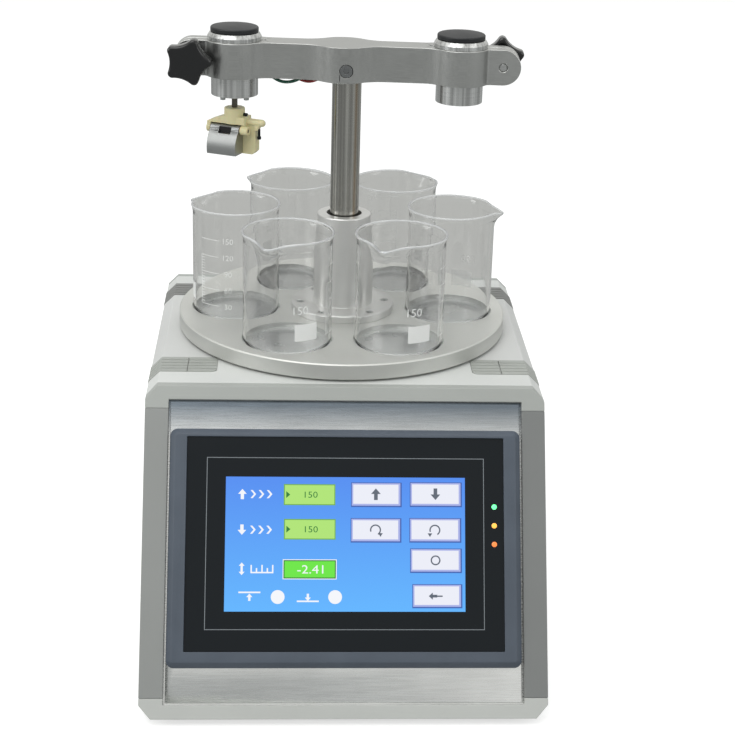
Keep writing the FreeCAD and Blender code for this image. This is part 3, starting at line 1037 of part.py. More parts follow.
crossbar = joined(rod_x(3, CROSSBAR_END, 1.0, CROSSBAR_Z, CROSSBAR_RADIUS),
                  Part.makeSphere(CROSSBAR_RADIUS, vec(CROSSBAR_END, 1.0, CROSSBAR_Z)))
bracket = prism_xz([(15, CROSSBAR_Z), (20, CROSSBAR_Z), (17.8, CROSSBAR_Z - 5), (15, CROSSBAR_Z - 6)], -1.0, 3.0)
shaft = rod(0, 0, CLAMP_HUB_LOW, motor_low + 6, SPINDLE_RADIUS)
set_screw = rod_x(SPINDLE_RADIUS, SET_SCREW_END, 0, SET_SCREW_Z, SET_SCREW_RADIUS)
side_screw = joined(rod(SIDE_SCREW_X, SIDE_SCREW_Y, SIDE_SCREW_Z, CROSSBAR_Z - 4, SIDE_SCREW_RADIUS),
                    rod(SIDE_SCREW_X, SIDE_SCREW_Y, SIDE_SCREW_Z, SIDE_SCREW_Z + 2, SIDE_HEAD_RADIUS))
clamp_body = joined(hub_cylinder, roof, back_plate, *cheeks, *bosses, crossbar, bracket)
clamp_body = clamp_body.cut(Part.makeCompound([
    rod(0, 0, CLAMP_HUB_LOW, FAR, SPINDLE_RADIUS), rod_x(-30, 30, PIVOT_Y, PIVOT_Z, PIN_RADIUS),
    rod_x(0, 12, 0, SET_SCREW_Z, SET_SCREW_RADIUS), side_screw]))
save("clamp_body", on_spindle(clamp_body))
pivot_pin = rod_x(BODY_LEFT + 0.3, BOSS_END - 0.3, PIVOT_Y, PIVOT_Z, PIN_RADIUS)
save("clamp_pins", *[on_spindle(piece) for piece in (shaft, set_screw, side_screw, pivot_pin)])

JAW_BACK = PLATE_FACE - 0.3
JAW_FRONT = -13.0
JAW_BEVEL = 0.8
JAW_BELLY_Y = -12.5
JAW_BELLY_Z = CLAMP_FOOT + 9.4
JAW_TOP_RADIUS = 3.5
WINDOW_LEFT = -8.0
WINDOW_RIGHT = 1.0
WINDOW_HALF = 2.1
WINDOW_DEPTH = 1.9
PAD_SINK = 0.8
jaw_outline = [
    Part.LineSegment(vec(JAW_LEFT, JAW_BACK, PIVOT_Z), vec(JAW_LEFT, JAW_BACK, CLAMP_FOOT)),
    Part.LineSegment(vec(JAW_LEFT, JAW_BACK, CLAMP_FOOT), vec(JAW_LEFT, JAW_FRONT + JAW_BEVEL, CLAMP_FOOT)),
    Part.LineSegment(vec(JAW_LEFT, JAW_FRONT + JAW_BEVEL, CLAMP_FOOT),
                     vec(JAW_LEFT, JAW_FRONT, CLAMP_FOOT + JAW_BEVEL)),
    Part.Arc(vec(JAW_LEFT, JAW_FRONT, CLAMP_FOOT + JAW_BEVEL), vec(JAW_LEFT, JAW_BELLY_Y, JAW_BELLY_Z),
             vec(JAW_LEFT, PIVOT_Y - JAW_TOP_RADIUS, PIVOT_Z)),
    Part.LineSegment(vec(JAW_LEFT, PIVOT_Y - JAW_TOP_RADIUS, PIVOT_Z), vec(JAW_LEFT, JAW_BACK, PIVOT_Z))]
jaw = Part.Face(Part.Wire([part.toShape() for part in jaw_outline])).extrude(vec(JAW_RIGHT - JAW_LEFT, 0, 0))
jaw = joined(jaw, rod_x(JAW_LEFT, JAW_RIGHT, PIVOT_Y, PIVOT_Z, JAW_TOP_RADIUS))
jaw = jaw.cut(rod_x(-30, 30, PIVOT_Y, PIVOT_Z, PIN_RADIUS + RUNNING))
window_floor = PIVOT_Y - JAW_TOP_RADIUS + WINDOW_DEPTH
jaw = jaw.cut(box(WINDOW_LEFT, WINDOW_RIGHT, JAW_FRONT - 3, window_floor, PIVOT_Z - WINDOW_HALF,
                  PIVOT_Z + WINDOW_HALF))
pad = box(WINDOW_LEFT, WINDOW_RIGHT, window_floor - WINDOW_DEPTH + PAD_SINK, window_floor, PIVOT_Z - WINDOW_HALF,
          PIVOT_Z + WINDOW_HALF)
save("clamp_jaw", on_spindle(jaw), on_spindle(pad))

# Star knobs: five lobes on a boss that keeps them clear of the rings, with the stud that crosses both ears.
# The left one is in front and the right one behind.
KNOB_TIP = 15.9
KNOB_VALLEY = 12.0
KNOB_LOBES = 5
LOBE_ROUND = 3.0
KNOB_THICKNESS = 11.0
KNOB_EDGE = 1.6
KNOB_BOSS = 7.0
KNOB_BOSS_LENGTH = 7.6
KNOB_GAP = 0.2
LEFT_KNOB_TURN = 0.6
RIGHT_KNOB_TURN = 18.0


def polar(radius, angle):
    return vec(radius * math.cos(angle), 0, radius * math.sin(angle))


def star_outline(turn):
    """Lobe arcs and valley arcs that are tangent to each other, in the XZ plane. The valley's radius follows
    from the tip, the valley's depth and the lobe's radius."""
    half = math.pi / KNOB_LOBES
    lobe_at = KNOB_TIP - LOBE_ROUND
    top = lobe_at ** 2 + KNOB_VALLEY ** 2 - 2 * lobe_at * KNOB_VALLEY * math.cos(half) - LOBE_ROUND ** 2
    valley_round = top / (2 * (LOBE_ROUND + lobe_at * math.cos(half) - KNOB_VALLEY))
    valley_at = KNOB_VALLEY + valley_round
    share = LOBE_ROUND / (LOBE_ROUND + valley_round)
    edges = []
    for k in range(KNOB_LOBES):
        here = math.radians(turn) + 2 * half * k
        lobe = polar(lobe_at, here)
        before = lobe + (polar(valley_at, here - half) - lobe) * share
        after = lobe + (polar(valley_at, here + half) - lobe) * share
        next_lobe = polar(lobe_at, here + 2 * half)
        across = next_lobe + (polar(valley_at, here + half) - next_lobe) * share
        edges.append(Part.Arc(before, polar(KNOB_TIP, here), after).toShape())
        edges.append(Part.Arc(after, polar(KNOB_VALLEY, here + half), across).toShape())
    return Part.Wire(edges)


def star_knob(turn, facing):
    """A knob on the arm's Y axis at the origin, facing the front when facing is -1."""
    star = Part.Face(star_outline(turn)).extrude(vec(0, facing * KNOB_THICKNESS, 0))
    star = star.makeFillet(KNOB_EDGE, [edge for edge in star.Edges if edge.BoundBox.YLength < 0.1])
    star.translate(vec(0, facing * (EAR_WIDTH / 2 + KNOB_GAP + KNOB_BOSS_LENGTH), 0))
    near = facing * (EAR_WIDTH / 2 + KNOB_GAP)
    boss_span = sorted((near, near + facing * (KNOB_BOSS_LENGTH + 2)))
    stud_span = sorted((near + facing * 2, -facing * (EAR_WIDTH / 2 - 0.5)))
    return joined(star, rod_y(0, boss_span[0], boss_span[1], 0, KNOB_BOSS),
                  rod_y(0, stud_span[0], stud_span[1], 0, STUD_RADIUS - RUNNING))


for side, facing, turn, name in ((-1, -1, LEFT_KNOB_TURN, "left"), (1, 1, RIGHT_KNOB_TURN, "right")):
    knob = star_knob(turn, facing)
    knob.translate(vec(side * (HEAD_OFFSET + EAR_REACH), 0, ARM_MIDDLE))
    save("knob_" + name, on_arm(knob))
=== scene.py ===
import json
import math

import bmesh
import bpy
import numpy as np
from mathutils import Matrix, Vector

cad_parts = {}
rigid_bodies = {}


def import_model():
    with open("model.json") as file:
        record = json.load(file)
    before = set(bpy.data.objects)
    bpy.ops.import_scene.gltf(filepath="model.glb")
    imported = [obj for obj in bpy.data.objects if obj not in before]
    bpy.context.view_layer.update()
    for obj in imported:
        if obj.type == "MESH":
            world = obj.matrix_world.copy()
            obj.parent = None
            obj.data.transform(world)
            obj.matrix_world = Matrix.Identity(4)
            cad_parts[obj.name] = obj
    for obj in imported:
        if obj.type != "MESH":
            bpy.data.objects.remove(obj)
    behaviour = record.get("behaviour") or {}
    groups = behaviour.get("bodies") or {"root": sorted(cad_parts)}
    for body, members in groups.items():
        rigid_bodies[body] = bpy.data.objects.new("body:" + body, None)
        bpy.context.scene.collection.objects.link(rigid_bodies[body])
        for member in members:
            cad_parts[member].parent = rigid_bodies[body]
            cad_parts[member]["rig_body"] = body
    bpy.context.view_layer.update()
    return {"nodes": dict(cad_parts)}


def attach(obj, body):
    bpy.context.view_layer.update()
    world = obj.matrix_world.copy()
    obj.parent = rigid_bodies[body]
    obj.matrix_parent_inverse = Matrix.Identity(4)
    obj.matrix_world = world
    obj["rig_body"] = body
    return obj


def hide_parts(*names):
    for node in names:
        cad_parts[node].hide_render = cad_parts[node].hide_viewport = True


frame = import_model()
scene = bpy.context.scene
scene.view_settings.view_transform = "Standard"
MM = 0.001

# Viewpoint
# A long lens 1.2 m in front of the turntable and 0.6 m above the bench. It looks 21 degrees down, a little
# to the right, and is rolled by 2 degrees. The small shift puts its axis where the photograph has it.
FRAME_PIXELS = 735.0
FOCAL_PIXELS = 1785.04
AXIS_PIXELS = (404.71, 355.38)
camera_data = bpy.data.cameras.new("camera")
camera_data.sensor_width = 36.0
camera_data.lens = camera_data.sensor_width * FOCAL_PIXELS / FRAME_PIXELS
camera_data.shift_x = (FRAME_PIXELS / 2 - AXIS_PIXELS[0]) / FRAME_PIXELS
camera_data.shift_y = (AXIS_PIXELS[1] - FRAME_PIXELS / 2) / FRAME_PIXELS
camera_data.clip_end = 50.0
camera = bpy.data.objects.new("camera", camera_data)
scene.collection.objects.link(camera)
camera.matrix_world = (Matrix.Translation(Vector((-37.35, -1143.97, 625.66)) * MM)
                       @ Matrix.Rotation(math.radians(-3.966), 4, "Z")
                       @ Matrix.Rotation(math.radians(90 - 20.97), 4, "X")
                       @ Matrix.Rotation(math.radians(2.010), 4, "Z"))
scene.camera = camera


# Studio
# A pale sweep with an even, soft light. The backdrop is white to the eye and a light grey in the glass. In
# bright metal it is grey in front and paler above and behind, as the real glass and metal show it.
def linear(code):
    """A colour from its sRGB hex code, turned to linear light channel by channel."""
    channels = [int(code[k:k + 2], 16) / 255 for k in (1, 3, 5)]
    return tuple(c / 12.92 if c <= 0.04045 else ((c + 0.055) / 1.055) ** 2.4 for c in channels) + (1.0,)


def add_node(tree, kind, sockets=(), **properties):
    """Adds a node. Properties are set by name, and each socket gets a value or another node's output."""
    node = tree.nodes.new(kind)
    for name, value in properties.items():
        setattr(node, name, value)
    for name, value in dict(sockets).items():
        if isinstance(value, bpy.types.NodeSocket):
            tree.links.new(value, node.inputs[name])
        else:
            node.inputs[name].default_value = value
    return node


WHITE = linear("#ffffff")
SEEN_IN_GLASS = linear("#b5b6b3")
SEEN_IN_METAL_FRONT = linear("#aaacab")
SEEN_IN_METAL_TOP = linear("#e2e2df")
SEEN_ON_GLASS = linear("#cdd0d1")
STUDIO_LIGHT = linear("#d2d4d6")
# How far up, and how far back, a direction points where the metal's backdrop starts and stops getting paler.
RISE = (-0.1, 0.75)
BEHIND = (-0.2, 0.6)

world = bpy.data.worlds.new("studio")
scene.world = world
world.use_nodes = True
tree = world.node_tree
tree.nodes.clear()
rays = add_node(tree, "ShaderNodeLightPath")
direction = add_node(tree, "ShaderNodeTexCoord")
height = add_node(tree, "ShaderNodeSeparateXYZ", {0: direction.outputs["Generated"]})
rise = add_node(tree, "ShaderNodeMapRange", {0: height.outputs["Z"], 1: RISE[0], 2: RISE[1]},
                interpolation_type="SMOOTHSTEP")
behind = add_node(tree, "ShaderNodeMapRange", {0: height.outputs["Y"], 1: BEHIND[0], 2: BEHIND[1]},
                  interpolation_type="SMOOTHSTEP")
bright = add_node(tree, "ShaderNodeMath", {0: rise.outputs[0], 1: behind.outputs[0]}, operation="MAXIMUM")
in_metal = add_node(tree, "ShaderNodeMix", {0: bright.outputs[0], 6: SEEN_IN_METAL_FRONT,
                                            7: SEEN_IN_METAL_TOP}, data_type="RGBA").outputs[2]
seen = STUDIO_LIGHT
for ray, colour in (("Is Glossy Ray", in_metal), ("Is Singular Ray", SEEN_ON_GLASS),
                    ("Is Transmission Ray", SEEN_IN_GLASS), ("Is Camera Ray", WHITE)):
    seen = add_node(tree, "ShaderNodeMix", {0: rays.outputs[ray], 6: seen, 7: colour},
                    data_type="RGBA").outputs[2]
sky = add_node(tree, "ShaderNodeBackground", {"Color": seen, "Strength": 1.0})
add_node(tree, "ShaderNodeOutputWorld", {"Surface": sky.outputs[0]})


def new_tree(name):
    """A material with an empty node tree."""
    material = bpy.data.materials.new(name)
    material.use_nodes = True
    material.node_tree.nodes.clear()
    return material, material.node_tree


FLOOR_GLOW = 0.62
sweep, tree = new_tree("painted_studio_sweep")
rays = add_node(tree, "ShaderNodeLightPath")
paint = add_node(tree, "ShaderNodeBsdfDiffuse", {"Color": linear("#c4c4c2")})
glow = add_node(tree, "ShaderNodeEmission", {"Color": WHITE, "Strength": FLOOR_GLOW})
to_eye = add_node(tree, "ShaderNodeAddShader", {0: paint.outputs[0], 1: glow.outputs[0]})
through_glass = add_node(tree, "ShaderNodeEmission", {"Color": SEEN_IN_GLASS, "Strength": 1.0})
off_metal = add_node(tree, "ShaderNodeEmission", {"Color": SEEN_IN_METAL_FRONT, "Strength": 1.0})
surface = paint
for ray, shader in (("Is Glossy Ray", off_metal), ("Is Transmission Ray", through_glass),
                    ("Is Camera Ray", to_eye)):
    surface = add_node(tree, "ShaderNodeMixShader", {0: rays.outputs[ray], 1: surface.outputs[0],
                                                     2: shader.outputs[0]})
add_node(tree, "ShaderNodeOutputMaterial", {"Surface": surface.outputs[0]})

SWEEP_HALF = 9.0
floor_mesh = bpy.data.meshes.new("sweep")
floor_mesh.from_pydata([(-SWEEP_HALF, -SWEEP_HALF, 0), (SWEEP_HALF, -SWEEP_HALF, 0),
                        (SWEEP_HALF, SWEEP_HALF, 0), (-SWEEP_HALF, SWEEP_HALF, 0)], [], [(0, 1, 2, 3)])
floor_mesh.materials.append(sweep)
floor = bpy.data.objects.new("sweep", floor_mesh)
scene.collection.objects.link(floor)

# Round soft boxes: each one's place and width in metres, and its power in watts.
LAMP_AIM = (0.0, 0.0, 0.2)
soft_boxes = (("key", (-0.7, -0.9, 2.0), 1.8, 15.0), ("fill", (1.5, -0.8, 1.1), 1.2, 5.0),
              ("top", (0.1, 0.5, 1.9), 1.7, 6.0), ("left", (-1.5, -0.5, 0.8), 0.9, 5.0))
for name, place, size, power in soft_boxes:
    lamp = bpy.data.lights.new(name, "AREA")
    lamp.shape = "DISK"
    lamp.size = size
    lamp.energy = power
    holder = bpy.data.objects.new(name, lamp)
    holder.location = place
    aim = Vector(LAMP_AIM) - Vector(place)
    holder.rotation_euler = aim.to_track_quat("-Z", "Y").to_euler()
    scene.collection.objects.link(holder)


# Case sheets: base tray, side panels, top bands and cover
# Folded 2 mm steel, degreased and powder coated in a pale satin grey. The coat's fine orange peel breaks up
# the highlights, and its thickness rounds every fold and edge a little.
SHARP = math.radians(32)
FLAT = math.radians(0.4)
WELD = 0.00001


def dressed(node, material, edge=0.0, segments=2, flats=True):
    """Gives a CAD piece its material. With an edge radius in mm, a copy takes its place, and a bevel of that
    radius rounds the copy's sharp edges. The triangles of its flats are joined, except on a piece whose bores
    break its curved faces. That one keeps them, with normals weighted by area."""
    source = frame["nodes"][node]
    if edge == 0.0:
        source.data.materials.clear()
        source.data.materials.append(material)
        return source
    work = bmesh.new()
    work.from_mesh(source.data)
    bmesh.ops.remove_doubles(work, verts=work.verts, dist=WELD)
    if flats:
        bmesh.ops.dissolve_limit(work, angle_limit=FLAT, verts=work.verts, edges=work.edges)
    mesh = bpy.data.meshes.new(node + "_finished")
    work.to_mesh(mesh)
    work.free()
    mesh.materials.clear()
    mesh.materials.append(material)
    mesh.shade_smooth()
    mesh.set_sharp_from_angle(angle=SHARP)
    piece = bpy.data.objects.new(mesh.name, mesh)
    scene.collection.objects.link(piece)
    rounding = piece.modifiers.new("edges", "BEVEL")
    rounding.width = edge * MM
    rounding.segments = segments
    rounding.limit_method = "ANGLE"
    rounding.angle_limit = SHARP
    rounding.use_clamp_overlap = False
    rounding.harden_normals = flats
    if not flats:
        piece.modifiers.new("normals", "WEIGHTED_NORMAL").keep_sharp = True
    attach(piece, source["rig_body"])
    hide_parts(node)
    return piece


def noise(tree, place, scale, detail, roughness=0.5):
    """A noise over a place, with its scale in cells to the metre."""
    return add_node(tree, "ShaderNodeTexNoise", {"Vector": place, "Scale": scale, "Detail": detail,
                                                 "Roughness": roughness}).outputs["Fac"]


def stretched_noise(tree, place, scales, detail):
    """A noise with its own scale, in cells to the metre, along each axis."""
    stretched = add_node(tree, "ShaderNodeMapping", {"Vector": place, "Scale": scales})
    return noise(tree, stretched.outputs[0], 1.0, detail)


def ranged(tree, value, low, high, bottom=0.0, top=1.0):
    """A value carried from one range to another."""
    return add_node(tree, "ShaderNodeMapRange", {0: value, 1: low, 2: high, 3: bottom, 4: top}).outputs[0]


def mixed(tree, share, first, second, how="MIX"):
    """Two colours mixed."""
    return add_node(tree, "ShaderNodeMix", {0: share, 6: first, 7: second}, data_type="RGBA",
                    blend_type=how).outputs[2]


def reckoned(tree, how, first, second=0.0):
    """The sum, difference or the like of two values."""
    return add_node(tree, "ShaderNodeMath", {0: first, 1: second}, operation=how).outputs[0]


def relief(tree, height, depth, strength):
    """A bump of the given depth in mm."""
    return add_node(tree, "ShaderNodeBump", {"Height": height, "Distance": depth * MM,
                                             "Strength": strength}).outputs[0]


def coated(tree, sockets):
    """Ends a tree with a Principled shader and the output."""
    shader = add_node(tree, "ShaderNodeBsdfPrincipled", sockets)
    add_node(tree, "ShaderNodeOutputMaterial", {"Surface": shader.outputs[0]})


# Most of a noise's values lie between these two.
LOW = 0.3
HIGH = 0.7


def powder_coat(name, colour, roughness=0.42, peel=1.3):
    """Satin powder coat. Two noises give an orange peel of the given size in mm and a slow drift of tone."""
    material, tree = new_tree(name)
    place = add_node(tree, "ShaderNodeTexCoord").outputs["Object"]
    grain = noise(tree, place, 1000 / peel, 3.0)
    tone = ranged(tree, noise(tree, place, 14.0, 2.0), LOW, HIGH, 0.965, 1.03)
    coated(tree, {"Base Color": mixed(tree, 1.0, linear(colour), tone, "MULTIPLY"), "IOR": 1.5,
                  "Roughness": ranged(tree, grain, LOW, HIGH, roughness - 0.05, roughness + 0.06),
                  "Normal": relief(tree, grain, 0.012, 0.6)})
    return material


pale_coat = powder_coat("powder_coated_steel_pale_grey", "#d0d2ce")
FOLD_ROUND = 0.6
for node in ("base_tray", "side_panel_left", "side_panel_right", "top_band_front", "top_band_rear"):
    dressed(node, pale_coat, FOLD_ROUND)
dressed("top_cover", powder_coat("powder_coated_steel_cover", "#cacbc8"), FOLD_ROUND)


# Feet: moulded black rubber, tapered, with the dull skin that bare rubber has
# and a soft edge where they meet the bench.
def moulded(name, colour, roughness=0.45, grain=0.5, depth=0.02, ior=1.5, coat=0.0):
    """Moulded plastic or rubber. A noise of the given grain in mm is the mould's spark-eroded texture."""
    material, tree = new_tree(name)
    place = add_node(tree, "ShaderNodeTexCoord").outputs["Object"]
    texture = noise(tree, place, 1000 / grain, 4.0, 0.6)
    wear = noise(tree, place, 45.0, 3.0)
    tone = ranged(tree, wear, LOW, HIGH, 0.93, 1.06)
    coated(tree, {"Base Color": mixed(tree, 1.0, linear(colour), tone, "MULTIPLY"), "IOR": ior,
                  "Roughness": ranged(tree, wear, LOW, HIGH, roughness - 0.06, roughness + 0.06),
                  "Normal": relief(tree, texture, depth, 0.7), "Coat Weight": coat, "Coat Roughness": 0.12})
    return material


dressed("rubber_feet", moulded("moulded_black_rubber", "#1b1b1c", 0.7, 0.8, 0.03), 0.5)

# Corner inserts: ribbed ABS mouldings pressed into notches of the two bands, so that hands and cables don't
# rub the paint. Those at the back are a darker grey, a painted shade for the turntable's shadow over them.
dressed("inserts_front", moulded("moulded_abs_grey", "#a3a6a0", 0.5, 0.6), 0.2)
dressed("inserts_rear", moulded("moulded_abs_grey_painted_shade", "#7d7e7b", 0.5, 0.6), 0.2)

# Front frame: extruded aluminium rails and posts, painted. Their tones are painted light and shade for
# how light falls on each piece: the top rail has a green cast, the posts are a darker grey with the right
# one darkest, and the bottom rail is the lightest.
dressed("front_top_rail", powder_coat("painted_rail_green_grey_painted_shade", "#a3a6a1", 0.38, 1.0), 0.5)
dressed("front_bottom_rail", powder_coat("painted_rail_light_grey_painted_light", "#b9bbb6", 0.38, 1.0), 0.5)
dressed("front_left_post", powder_coat("painted_post_grey_painted_shade", "#8d8f8c", 0.4, 1.0), 0.5)
dressed("front_right_post", powder_coat("painted_post_dark_grey_painted_shade", "#7a7c7a", 0.4, 1.0), 0.5)


# Front panel: a 2 mm aluminium sheet, brushed along its width and clear anodised. It is pale at its foot, and
# over its top 23 mm it gets darker and bluer, which is a painted reflection.
# Heights in mm between which the panel takes on its painted reflection.
PAINTED_REFLECTION_LOW = 154.0
PAINTED_REFLECTION_TOP = 177.0
STRETCH = 60


def brushed(name, colour, along=(1, 0, 0), roughness=0.34, line=0.35, spread=0.08, metallic=1.0, painted_reflection=None):
    """Brushed metal. A noise stretched sixty times along the brushing, one line wide in mm across it, gives
    the lines' tone, gloss and relief, and a slow noise the sheet's uneven sheen. A painted reflection is a
    colour that the piece takes on between two heights, standing in for a reflection there."""
    material, tree = new_tree(name)
    place = add_node(tree, "ShaderNodeTexCoord").outputs["Object"]
    fine = 1000 / line
    lines = stretched_noise(tree, place, tuple(fine / STRETCH if axis else fine for axis in along), 3.0)
    both = reckoned(tree, "ADD", lines, noise(tree, place, 22.0, 2.0))
    tone = ranged(tree, both, 0.7, 1.3, 0.9, 1.08)
    base = linear(colour)
    if painted_reflection is not None:
        height = add_node(tree, "ShaderNodeSeparateXYZ", {0: place}).outputs["Z"]
        base = mixed(tree, ranged(tree, height, PAINTED_REFLECTION_LOW * MM, PAINTED_REFLECTION_TOP * MM), base, linear(painted_reflection))
    coated(tree, {"Base Color": mixed(tree, 1.0, base, tone, "MULTIPLY"), "Metallic": metallic,
                  "Roughness": ranged(tree, lines, LOW, HIGH, roughness - spread, roughness + spread),
                  "Normal": relief(tree, lines, 0.004, 0.5)})
    return material


# The sheet turns darker and bluer over its top 23 mm: a painted reflection.
panel_sheet = brushed("brushed_anodised_aluminium_sheet_painted_reflection", "#f4f5f4", (1, 0, 0), 0.27, 0.4, painted_reflection="#7d8791")
dressed("front_panel", panel_sheet, 0.3)


# Touch panel: a moulded blue-grey bezel with a wide bevel round a black printed glass. The glass carries a
# thin pale frame line round the display and three small status lamps at its right.
bezel_plastic = moulded("moulded_abs_blue_grey", "#515963", 0.42, 0.45, 0.012, 1.4)
dressed("display_bezel", bezel_plastic, 0.5, 3)
dressed("display_case", moulded("moulded_black_housing", "#202124", 0.5))

black_glass, tree = new_tree("printed_black_glass")
place = add_node(tree, "ShaderNodeTexCoord").outputs["Object"]
smears = noise(tree, place, 30.0, 4.0)
coated(tree, {"Base Color": linear("#14191d"), "Roughness": ranged(tree, smears, 0.35, HIGH, 0.12, 0.22),
              "IOR": 1.3})
dressed("display_glass", black_glass)

SLOPE = math.radians(30)
SLOPE_FOOT = (-172.23, 5.0)
GLASS_FACE = -1.8
SCREEN_FACE = -1.6
SCREEN_LOW = 67.5
SCREEN_TOP = 153.5


def on_slope(u, s, inwards):
    """Points of the leaning front, from mm across, mm up the slope and mm inwards, to metres in the part's
    frame."""
    u, s, inwards = np.broadcast_arrays(*(np.asarray(value, float) for value in (u, s, inwards)))
    y = SLOPE_FOOT[0] + inwards * math.cos(SLOPE) + s * math.sin(SLOPE)
    z = SLOPE_FOOT[1] - inwards * math.sin(SLOPE) + s * math.cos(SLOPE)
    return np.stack([u, y, z], axis=-1) * MM


def placed(name, points, polygons, material, body):
    """A piece from points in metres and polygons, riding on a body."""
    mesh = bpy.data.meshes.new(name)
    mesh.from_pydata(points, [], polygons)
    mesh.materials.append(material)
    piece = bpy.data.objects.new(name, mesh)
    scene.collection.objects.link(piece)
    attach(piece, body)
    return piece


def round_mesh(name, points, material, body, sharp=SHARP):
    """A mesh over a grid of points that closes round its columns, one quad to a cell. Points that fall
    together, as at a pole, are merged."""
    rows, columns = points.shape[:2]
    index = np.arange(rows * columns).reshape(rows, columns)
    index = np.concatenate([index, index[:, :1]], axis=1)
    quads = np.stack([index[:-1, :-1], index[:-1, 1:], index[1:, 1:], index[1:, :-1]], axis=-1).reshape(-1, 4)
    piece = placed(name, points.reshape(-1, 3).tolist(), quads.tolist(), material, body)
    work = bmesh.new()
    work.from_mesh(piece.data)
    bmesh.ops.remove_doubles(work, verts=work.verts, dist=1e-7)
    work.to_mesh(piece.data)
    work.free()
    piece.data.shade_smooth()
    piece.data.set_sharp_from_angle(angle=sharp)
    return piece


def lit(name, colour, strength=0.97, body="#0b0b0b", roughness=0.3):
    """A flat lit colour over a body of another."""
    material, tree = new_tree(name)
    coated(tree, {"Base Color": linear(body), "Roughness": roughness, "Emission Color": linear(colour),
                  "Emission Strength": strength})
    return material


LAMP_U = 96.0
LAMP_RADIUS = 1.7
LENS_RADII = LAMP_RADIUS * np.array([1.0, 0.98, 0.8, 0.45, 0.0])[:, None]
LENS_HEIGHTS = np.array([0.0, 0.05, 0.14, 0.22, 0.25])[:, None]
angle = np.linspace(0, 2 * np.pi, 32, endpoint=False)
for name, s, colour, strength in (("green", 134.7, "#5bf28a", 1.6), ("amber", 122.6, "#f2a444", 1.1),
                                  ("orange", 110.6, "#e0763a", 0.9)):
    dome = on_slope(LAMP_U + LENS_RADII * np.cos(angle), s + LENS_RADII * np.sin(angle),
                    GLASS_FACE - LENS_HEIGHTS)
    glow = lit("lit_" + name + "_lens", colour, strength, colour, 0.2)
    lens = round_mesh("status_lamp_" + name, dome, glow, "chassis")
    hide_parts("status_lamps")

# Display: a 7 inch colour panel. Its picture is a set of flat coloured fields, keys, marks and numbers, and
# its backlight is a little uneven, paler at the foot than at the top.
backlit, tree = new_tree("backlit_lcd_blue")
place = add_node(tree, "ShaderNodeTexCoord").outputs["Object"]
height = add_node(tree, "ShaderNodeSeparateXYZ", {0: place}).outputs["Z"]
climb = ranged(tree, height, (SLOPE_FOOT[1] + SCREEN_LOW * math.cos(SLOPE)) * MM,
               (SLOPE_FOOT[1] + SCREEN_TOP * math.cos(SLOPE)) * MM)
shade = mixed(tree, climb, linear("#5db4fe"), linear("#4c8af0"))
coated(tree, {"Base Color": linear("#101c2c"), "Roughness": 0.25, "Emission Color": shade,
              "Emission Strength": 0.96})
dressed("display_screen", backlit)


def flat_piece(name, outlines, face, material):
    """Flat shapes on the leaning front, one polygon for each outline of (u, s) points, joined to one mesh."""
    points = []
    polygons = []
    for outline in outlines:
        polygons.append(list(range(len(points), len(points) + len(outline))))
        points += on_slope(*np.array(outline).T, face).tolist()
    placed(name, points, polygons, material, "chassis")


def block(u0, u1, s0, s1):
    """A rectangle's four corners, in order."""
    return [(u0, s0), (u1, s0), (u1, s1), (u0, s1)]


def frame_line(u0, u1, s0, s1, width):
    """A rectangular line as four blocks."""
    return [block(u0, u1, s0, s0 + width), block(u0, u1, s1 - width, s1),
            block(u0, u0 + width, s0 + width, s1 - width),
            block(u1 - width, u1, s0 + width, s1 - width)]


FIGURE_SHARE = 0.7


def lettering(text, height):
    """The flat mesh of a line of figures, as points in mm and polygons, centred on the origin. A figure takes
    up a share of its font's size."""
    curve = bpy.data.curves.new("figures", "FONT")
    curve.body = text
    curve.size = height / FIGURE_SHARE
    curve.align_x = "CENTER"
    curve.align_y = "CENTER"
    curve.resolution_u = 3
    holder = bpy.data.objects.new("figures", curve)
    scene.collection.objects.link(holder)
    bpy.context.view_layer.update()
    shaped = holder.evaluated_get(bpy.context.evaluated_depsgraph_get())
    mesh = bpy.data.meshes.new_from_object(shaped)
    points = np.array([vertex.co[:2] for vertex in mesh.vertices])
    polygons = [list(polygon.vertices) for polygon in mesh.polygons]
    bpy.data.objects.remove(holder)
    return points - (points.max(axis=0) + points.min(axis=0)) / 2, polygons


def figures_on_slope(name, text, height, u, s, face, material, stretch):
    """A line of figures on the leaning front, centred on u and s."""
    points, polygons = lettering(text, height)
    points = on_slope(u + points[:, 0] * stretch, s + points[:, 1], face).tolist()
    placed(name, points, polygons, material, "chassis")


def arrow(u, s, size, turn):
    """An arrow with a shaft, pointing up the slope when turn is 0."""
    shape = [(-0.16, -0.5), (0.16, -0.5), (0.16, 0.02), (0.42, 0.02), (0.0, 0.5), (-0.42, 0.02),
             (-0.16, 0.02)]
    c, n = math.cos(math.radians(turn)), math.sin(math.radians(turn))
    return [(u + size * (x * c - y * n), s + size * (x * n + y * c)) for x, y in shape]


def ring_arc(u, s, radius, width, start, end, count=16):
    """Part of a flat ring between two angles in degrees."""
    angles = np.radians(np.linspace(start, end, count))
    return [(u + r * math.cos(a), s + r * math.sin(a))
            for r, way in ((radius, angles), (radius - width, angles[::-1])) for a in way]


white_ink = lit("lcd_white", "#f4f6fb")
key_ink = lit("lcd_key_white", "#eceef8")
lavender_ink = lit("lcd_lavender", "#a9b2e8")
shadow_ink = lit("lcd_key_shadow", "#3a5fb0")
dark_ink = lit("lcd_dark_mark", "#5c6472")
yellow_green_ink = lit("lcd_yellow_green", "#afe473")
green_edge_ink = lit("lcd_green_edge", "#6fae4a")
bright_green_ink = lit("lcd_bright_green", "#68e63c")
deep_green_ink = lit("lcd_deep_green", "#1f7a2c")
